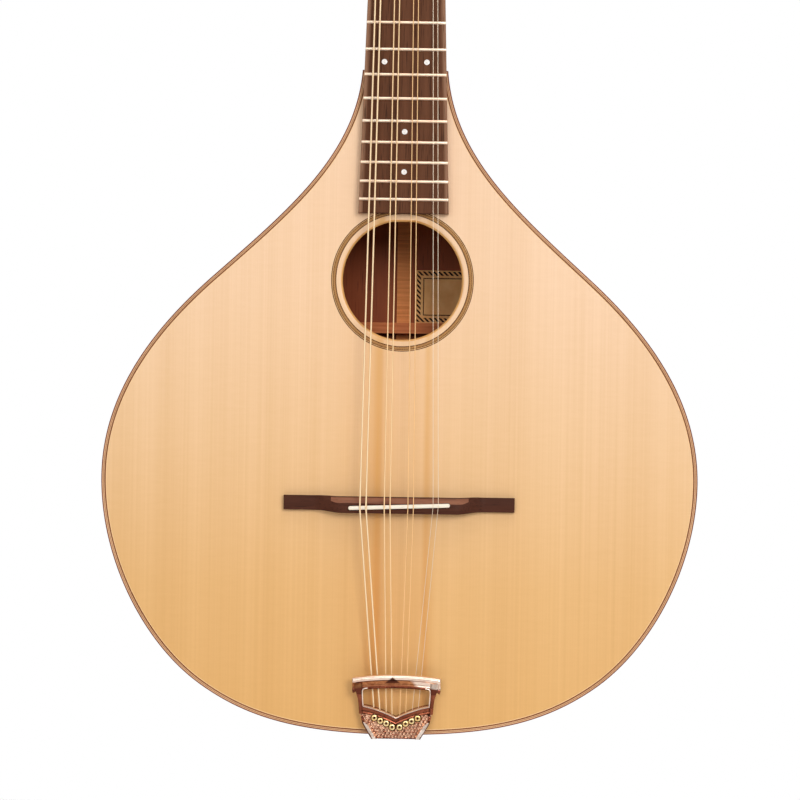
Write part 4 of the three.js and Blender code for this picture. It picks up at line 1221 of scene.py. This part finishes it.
def plate_point(s, t, bumps, balls):
    """A point of the lower plate, s across and t from the V down to the foot, with its material."""
    start = lip_edge(s * LIP_HALF)
    z = lerp(start, TAIL_FOOT_END, t)
    x = s * lerp(LIP_HALF, plate_half(z), smooth(t * 6))
    y, kind = plate_surface(x, z, start - z, bumps)
    for bx, bz in balls:
        away = math.hypot(x - bx, z - bz)
        if away < 2.5:
            y = lerp(y, -3.6, 1 - smooth((away - 1.95) / 0.5))
        if away < 2.3:
            kind = HOLLOW
    inside = plate_half(z) - abs(x)
    width = lerp(1.7, 3.4, smooth((-667.0 - z) / 4.0))
    border = smooth((width - inside) / 0.5) * smooth((-664.0 - z) / 3.0)
    if border > 0.05 and kind != HOLLOW:
        # The inner slope of each corner border takes a painted highlight.
        kind = PAINTED_HIGHLIGHT if 0.7 < inside < width and z < -668 else PATINA
    return (x, lerp(y, -7.5, border), z), kind


def tail_plate():
    """The plate below the V, with a hollow for each ball end and raised borders down to the foot."""
    bumps = hammered_bumps()
    balls = [(x, z) for *_, x, z, _, _ in string_places()]
    columns, rows = 150, 84
    rings, kinds = [], []
    for t in steps(0.0, 1.0, rows):
        row = [plate_point(s, t, bumps, balls) for s in steps(-1, 1, columns)]
        rings.append([point for point, _ in row])
        kinds += [kind for _, kind in row[:-1]]
    rings += [[(x * 0.97, -1.5, z) for x, _, z in ring] for ring in (rings[-1], rings[0])]
    verts, faces = skin(rings, wrap=False, caps=False, loop=True)
    size = columns + 1
    for k in (0, columns):
        faces.append(tuple(r * size + k for r in range(len(rings))))
    kinds = kinds[:rows * columns]
    return verts, faces, kinds + [PATINA] * (len(faces) - len(kinds))


def tail_bar():
    """The arched bar across the top of the opening."""
    # The second face, along the bar's top, and the end caps take a painted highlight; the bar's faces take
    # its bronze with painted light and wear.
    section = ((0.0, -7.6, PATINA), (0.3, -8.8, PAINTED_HIGHLIGHT), (0.15, -10.2, BAR_PAINTED_LIGHT_AND_WEAR), (-0.5, -11.1, BAR_PAINTED_LIGHT_AND_WEAR),
               (-1.5, -11.4, BAR_PAINTED_LIGHT_AND_WEAR), (-2.4, -11.2, BAR_PAINTED_LIGHT_AND_WEAR), (-3.0, -10.6, BAR_PAINTED_LIGHT_AND_WEAR), (-3.4, -10.0, BAR_PAINTED_LIGHT_AND_WEAR),
               (-5.2, -9.5, BAR_PAINTED_LIGHT_AND_WEAR), (-6.4, -9.5, BAR_PAINTED_LIGHT_AND_WEAR), (-7.0, -10.0, PATINA), (-7.6, -10.3, PATINA),
               (-8.1, -9.8, PATINA), (-8.3, -8.6, PATINA), (-8.1, -7.6, PATINA))
    slices = 150
    rings = []
    for i, x in enumerate(steps(-BAR_HALF, BAR_HALF, slices)):
        crest = BAR_Z + BAR_RISE * (1 - (x / BAR_HALF) ** 2)
        spread = 1.0 + 0.18 * smooth((abs(x) - 23.5) / 3.5)
        tip = 0.86 if i in (0, slices) else 1.0
        rings.append([(x, lerp(-9.4, y, tip), crest + dz * spread * tip) for dz, y, _ in section])
    kinds = [kind for _ in range(slices) for *_, kind in section]
    return *skin(rings), kinds + [PAINTED_HIGHLIGHT, PAINTED_HIGHLIGHT]


def tail_arm(side):
    """A squarish arm from the lower plate up to the bar. Its rows give x, y, z, half width and half depth."""
    path = ((21.9, -4.8, -663.0, 1.2, 3.2), (22.0, -5.4, -659.0, 1.3, 3.0), (22.3, -6.6, -654.0, 1.6, 2.2),
            (22.9, -8.2, -650.0, 2.1, 1.7), (23.6, -9.2, -646.5, 2.7, 1.6), (23.9, -9.3, -643.5, 2.8, 1.5))
    rows, sides, bar_colour_from = 30, 16, 17
    rings = []
    for u in steps(0, len(path) - 1, rows):
        k = min(int(u), len(path) - 2)
        x, y, z, wide, deep = (lerp(a, b, u - k) for a, b in zip(path[k], path[k + 1]))
        ring = []
        for cx, cy in around(sides):
            ring.append((side * (x + wide * math.copysign(abs(cx) ** 0.7, cx)),
                         y + deep * math.copysign(abs(cy) ** 0.7, cy), z))
        rings.append(ring)
    # Rows near the bar take the bar's bronze, with its painted light and wear.
    kinds = [BAR_PAINTED_LIGHT_AND_WEAR if row >= bar_colour_from else PATINA for row in range(rows) for _ in range(sides)]
    return *skin(rings), kinds + [BAR_PAINTED_LIGHT_AND_WEAR, BAR_PAINTED_LIGHT_AND_WEAR]


def opening_bead():
    """The rounded edge round the opening, from one end of the V up, over and down: plain bronze in its upper
    part, which stands for shade, and a painted highlight on its lower sides.
    """
    foot_z, arch_half, arch_z, sides = -657.9, 19.6, -646.8, 10
    left = [(-20.6, foot_z), (-20.8, -655.0), (-21.0, -651.0), (-21.1, -648.4), (-20.6, -647.2),
            (-arch_half, arch_z)]
    arch = [(x, arch_z + 1.3 * (1 - (x / arch_half) ** 2)) for x in steps(-arch_half, arch_half, 24)[1:-1]]
    path = left + arch + [(-x, z) for x, z in reversed(left)]
    shape, _ = tube([(x, lerp(-7.6, -10.2, smooth((z - foot_z) / 9.0)), z) for x, z in path], 0.42, sides)
    spans = len(path) - 1
    # Painted highlight on the lower sides; the upper part keeps the darker patina as painted shade.
    kinds = [PATINA if 6 <= k < spans - 6 else PAINTED_HIGHLIGHT for k in range(spans) for _ in range(sides)]
    return *shape, kinds + [PAINTED_HIGHLIGHT, PAINTED_HIGHLIGHT]


def tail_foot():
    """The thin foot that wraps the body's end."""
    half = [(15.0, -6.0), (15.0, 16.0), (12.0, 22.5), (7.0, 24.0)]
    outline = [(-15.0, -6.0)] + half + [(-x, y) for x, y in reversed(half[1:])]
    end = TAIL_FOOT_END
    rings = []
    for inset, z in ((0.0, TAIL_END - 0.3), (0.0, end + 0.4), (0.2, end + 0.1), (0.5, end)):
        rings.append([(x * (1 - inset / 15), y if y < 0 else y - inset, z) for x, y in outline])
    verts, faces = skin(rings)
    return verts, faces, [PATINA] * len(faces)


def make_tailpiece():
    """One casting, with the two screws that hold its foot."""
    solids = [tail_plate(), tail_bar(), tail_arm(-1), tail_arm(1), opening_bead(), tail_foot()]
    shape = merge(*((verts, faces) for verts, faces, _ in solids))
    parts = [kind for *_, kinds in solids for kind in kinds]
    piece("cast_tailpiece", shape, TAIL_BRONZE, ("tailpiece",), parts, sharp=40)
    profile = [(1.7, -18), (1.7, -0.2), (3.2, -0.1), (3.2, 0.5), (2.7, 1.3), (1.6, 1.7), (0.05, 1.8)]
    # No slot is cut: a dark ebony box stands out of each head along it, a painted shade.
    groove = box(-2.7, 2.7, -0.35, 0.35, 1.3, 1.85)
    for side, name in ((-1, "bass"), (1, "treble")):
        place = Matrix.Translation((side * 8, 13, TAIL_FOOT_END - 0.05)) @ Matrix.Rotation(math.pi, 4, "X")
        body = turned(profile, 32, place)
        piece(f"tail_screw_{name}", body, SCREW_BRONZE, (f"tailpiece_screw_{name}",))
        slot = moved(groove, place @ Matrix.Rotation(0.4 * side, 4, "Z"))
        piece(f"tail_screw_{name}_slot", slot, EBONY)


make_bridge()
make_saddle()
make_tailpiece()

# ------------------------------------------------------------------ strings

def string_path(gauge, nut_x, saddle_x, ball_x, ball_z, side, row):
    """From the ball end over saddle and nut to three turns round the post."""
    radius = gauge / 2
    saddle = Vector((saddle_x, STRING_SADDLE - radius, SADDLE_Z + saddle_x * math.tan(SADDLE_SLANT)))
    nut_front = Vector((nut_x, STRING_NUT - radius, 0.3))
    nut_back = Vector((nut_x, STRING_NUT - radius, NUT_BACK))
    start = Vector((ball_x, BALL_Y, ball_z + 1.75))
    turns, per_turn = 3.2, 20
    winding = 3.3 + radius
    coil = []
    for k in range(int(turns * per_turn) + 1):
        angle = 2 * math.pi * k / per_turn
        x = side * (POST_X - winding * math.cos(angle))
        w = POST_ROWS[row] + winding * math.sin(angle)
        coil.append(HEAD @ Vector((x, -3.9 - radius - gauge * 0.94 * k / per_turn, w)))
    path = [start.lerp(saddle, t) for t in (0, 0.02, 0.05, 0.3, 0.7, 0.98)] + [saddle]
    path += [saddle.lerp(nut_front, t) for t in (0.004, 0.25, 0.5, 0.75)] + [nut_front, nut_back]
    return path + [nut_back.lerp(coil[0], 0.03), nut_back.lerp(coil[0], 0.6)] + coil


def make_strings():
    """Six wound and two plain wires, each with its brass ball end."""
    half = [(0.85, -1.6), (1.7, -1.6), (1.87, -1.4), (1.87, -0.9), (1.35, -0.7)]
    ball = half + [(radius, -height) for radius, height in reversed(half)]
    for number, gauge, nut_x, saddle_x, ball_x, ball_z, side, row in string_places():
        wire, uv = tube(string_path(gauge, nut_x, saddle_x, ball_x, ball_z, side, row), gauge / 2, 12)
        slot = "wound_bronze" if number <= 6 else "plain_steel"
        material = WIRES[(number - 1) // 2]
        piece(f"string_{number}_wire", wire, material, (f"string_{number}",), uv=uv, sharp=80)
        place = Matrix.Translation((ball_x, BALL_Y - 0.55, ball_z)) @ Z_TO_FRONT
        piece(f"ball_end_{number}", turned(ball, 32, place, loop=True), BALL_BRASS, sharp=50)


make_strings()

# ------------------------------------------------------------------ tuners

def gear_and_post():
    """The post with its waist for the string, and the gear and its screw at the lower end, about y."""
    per_tooth = 12
    outline = []
    for k, (x, z) in enumerate(around(GEAR_TEETH * per_tooth)):
        share = (k / per_tooth) % 1.0
        radius = lerp(4.35, 5.5, smooth((0.5 - abs(share - 0.5) - 0.14) / 0.2))
        outline.append((radius * x, radius * z))
    rings = []
    for size, y in ((0.93, 18.75), (1.0, 19.1), (1.0, 21.5), (0.93, 21.85)):
        rings.append([(x * size, y, z * size) for x, z in outline])
    post = [(0.05, 12.5), (1.2, 12.45), (2.3, 12.1), (2.75, 11.4), (2.7, 10.4), (2.45, 9.4), (2.4, 8.0),
            (2.7, 6.2), (2.9, 4.2), (3.0, 3.0), (3.0, -18.9), (2.0, -18.9), (0.05, -18.9)]
    hub = [(0.05, -21.8), (2.6, -21.8), (2.6, -22.5), (2.2, -22.9), (0.05, -23.0)]
    return merge(skin(rings), turned(post, 36, Z_TO_FRONT), turned(hub, 32, Z_TO_FRONT))


def worm_and_shaft():
    """Worm, shaft and collar about the x axis, from the worm's middle outwards."""
    lead, half, sides = 2.18, 4.0, 28
    rings = []
    for s in steps(-half, half, 80):
        fade = smooth((half - abs(s)) / 0.5)
        ring = []
        for k, (y, z) in enumerate(around(sides)):
            phase = (s / lead - k / sides) % 1.0
            crest = smooth((0.5 - abs(phase - 0.5) - 0.1) / 0.28)
            radius = lerp(2.0, lerp(2.15, 3.0, crest), fade)
            ring.append((s, radius * y, radius * z))
        rings.append(ring)
    along_x = Matrix.Rotation(math.radians(90), 4, "Y")
    inner = [(0.05, -8.3), (1.3, -8.3), (1.6, -8.0), (1.6, -3.9), (0.05, -3.9)]
    outer = [(0.05, 3.9), (1.6, 3.9), (1.6, 12.5), (2.1, 13.0), (2.1, 13.6), (1.7, 13.9), (1.7, 15.2),
             (2.5, 15.8), (2.5, 17.4), (1.5, 17.6), (0.05, 17.6)]
    return merge(skin(rings), turned(inner, 24, along_x), turned(outer, 28, along_x))


def oval_button():
    """A flattened oval grip on the shaft's end."""
    half_thick, half_tall = 4.1, 6.8
    profile = ((16.9, 0.26), (17.3, 0.34), (18.3, 0.42), (19.6, 0.60), (21.2, 0.80), (23.0, 0.94),
               (25.0, 1.0), (27.0, 0.98), (29.0, 0.88), (30.4, 0.72), (31.3, 0.50), (31.8, 0.28),
               (32.0, 0.06))
    rings = []
    for x, size in profile:
        ring = []
        for across, deep in around(40):
            ring.append((x, half_thick * size ** 0.7 * math.copysign(abs(deep) ** 0.9, deep),
                         half_tall * size * math.copysign(abs(across) ** 0.95, across)))
        rings.append(ring)
    return skin(rings)


def shared(name, shape, material, sharp=35):
    """A mesh about its own centre, for pieces that repeat."""
    mesh = mesh_of(name, shape, sharp)
    mesh.materials.append(material)
    return mesh


def head_place(x, y, w):
    """A place on the head, in metres."""
    place = HEAD @ Matrix.Translation((x, y, w))
    return Matrix.Translation(place.to_translation() * MM) @ place.to_3x3().to_4x4()


def make_tuners():
    """Eight posts with gears, bushes, worms and buttons, on a strip for each side."""
    bush = [(3.25, 0.0), (5.2, 0.0), (5.2, 0.35), (4.6, 0.95), (3.9, 1.2), (3.25, 1.15)]
    post_mesh = shared("post_gear", gear_and_post(), BRASS)
    worm_mesh = shared("worm_shaft", worm_and_shaft(), BRASS, 30)
    button_mesh = shared("button_grip", oval_button(), EBONY)
    bush_mesh = shared("post_bush", turned(bush, 36, Z_TO_FRONT, loop=True), BRASS)
    for side, side_name in ((-1, "bass"), (1, "treble")):
        facing = Matrix.Rotation(math.pi if side < 0 else 0.0, 4, "Z")
        for row, w in enumerate(POST_ROWS):
            name = f"{side_name}_{row + 1}"
            post, button = f"post_{name}", f"button_{name}"
            post_place = head_place(side * POST_X, 0, w)
            shaft_place = head_place(side * POST_X, WORM_Y, w - WORM_DROP) @ facing
            put(f"post_and_gear_{name}", post_mesh, (post,), post, post_place)
            put(f"bush_{name}", bush_mesh, place=post_place)
            put(f"grip_{name}", button_mesh, (button,), button, shaft_place)
            put(f"worm_{name}", worm_mesh, (), button, shaft_place)
        make_strip(side, side_name)


def make_strip(side, side_name):
    """The brass strip that carries one row of tuners, with its screws and a pair of lugs for each worm."""
    low, high = POST_ROWS[0] - 17.0, POST_ROWS[-1] + 14.0
    middle, half = POST_X, 7.6
    outline = []
    for end, start in ((low, math.pi), (high, 0.0)):
        for angle in steps(start, start + math.pi, 16):
            outline.append((side * (middle + half * math.cos(angle)), end + half * 0.55 * math.sin(angle)))
    shapes = [slab(outline, HEAD_BACK + 0.02, 17.0, round_back=0.3)]
    for w in POST_ROWS:
        z, reach = w - WORM_DROP, 3.1
        lug = []
        for angle in steps(0.0, math.pi, 12):
            lug.append((z + reach * math.cos(angle), WORM_Y + 3.0 * math.sin(angle)))
        lug += [(z - reach, 16.5), (z + reach, 16.5)]
        for x in (POST_X - 6.5, POST_X + 6.5):
            shapes.append(skin([[(side * (x + dx), y, zz) for zz, y in lug] for dx in (-0.8, 0.8)]))
    plate = moved(merge(*shapes), HEAD)
    piece(f"tuner_plate_{side_name}", plate, BRASS, (f"tuner_strip_{side_name}",), sharp=40)
    between = [(a + b) / 2 - 2.5 for a, b in zip(POST_ROWS, POST_ROWS[1:])]
    for i, w in enumerate([low + 1.5] + between + [high - 1.5]):
        place = HEAD @ Matrix.Translation((side * middle, 17.05, w)) @ Z_TO_BACK
        screw(f"strip_screw_{side_name}_{i + 1}", place, 1.6, 0.7 * i)


make_tuners()
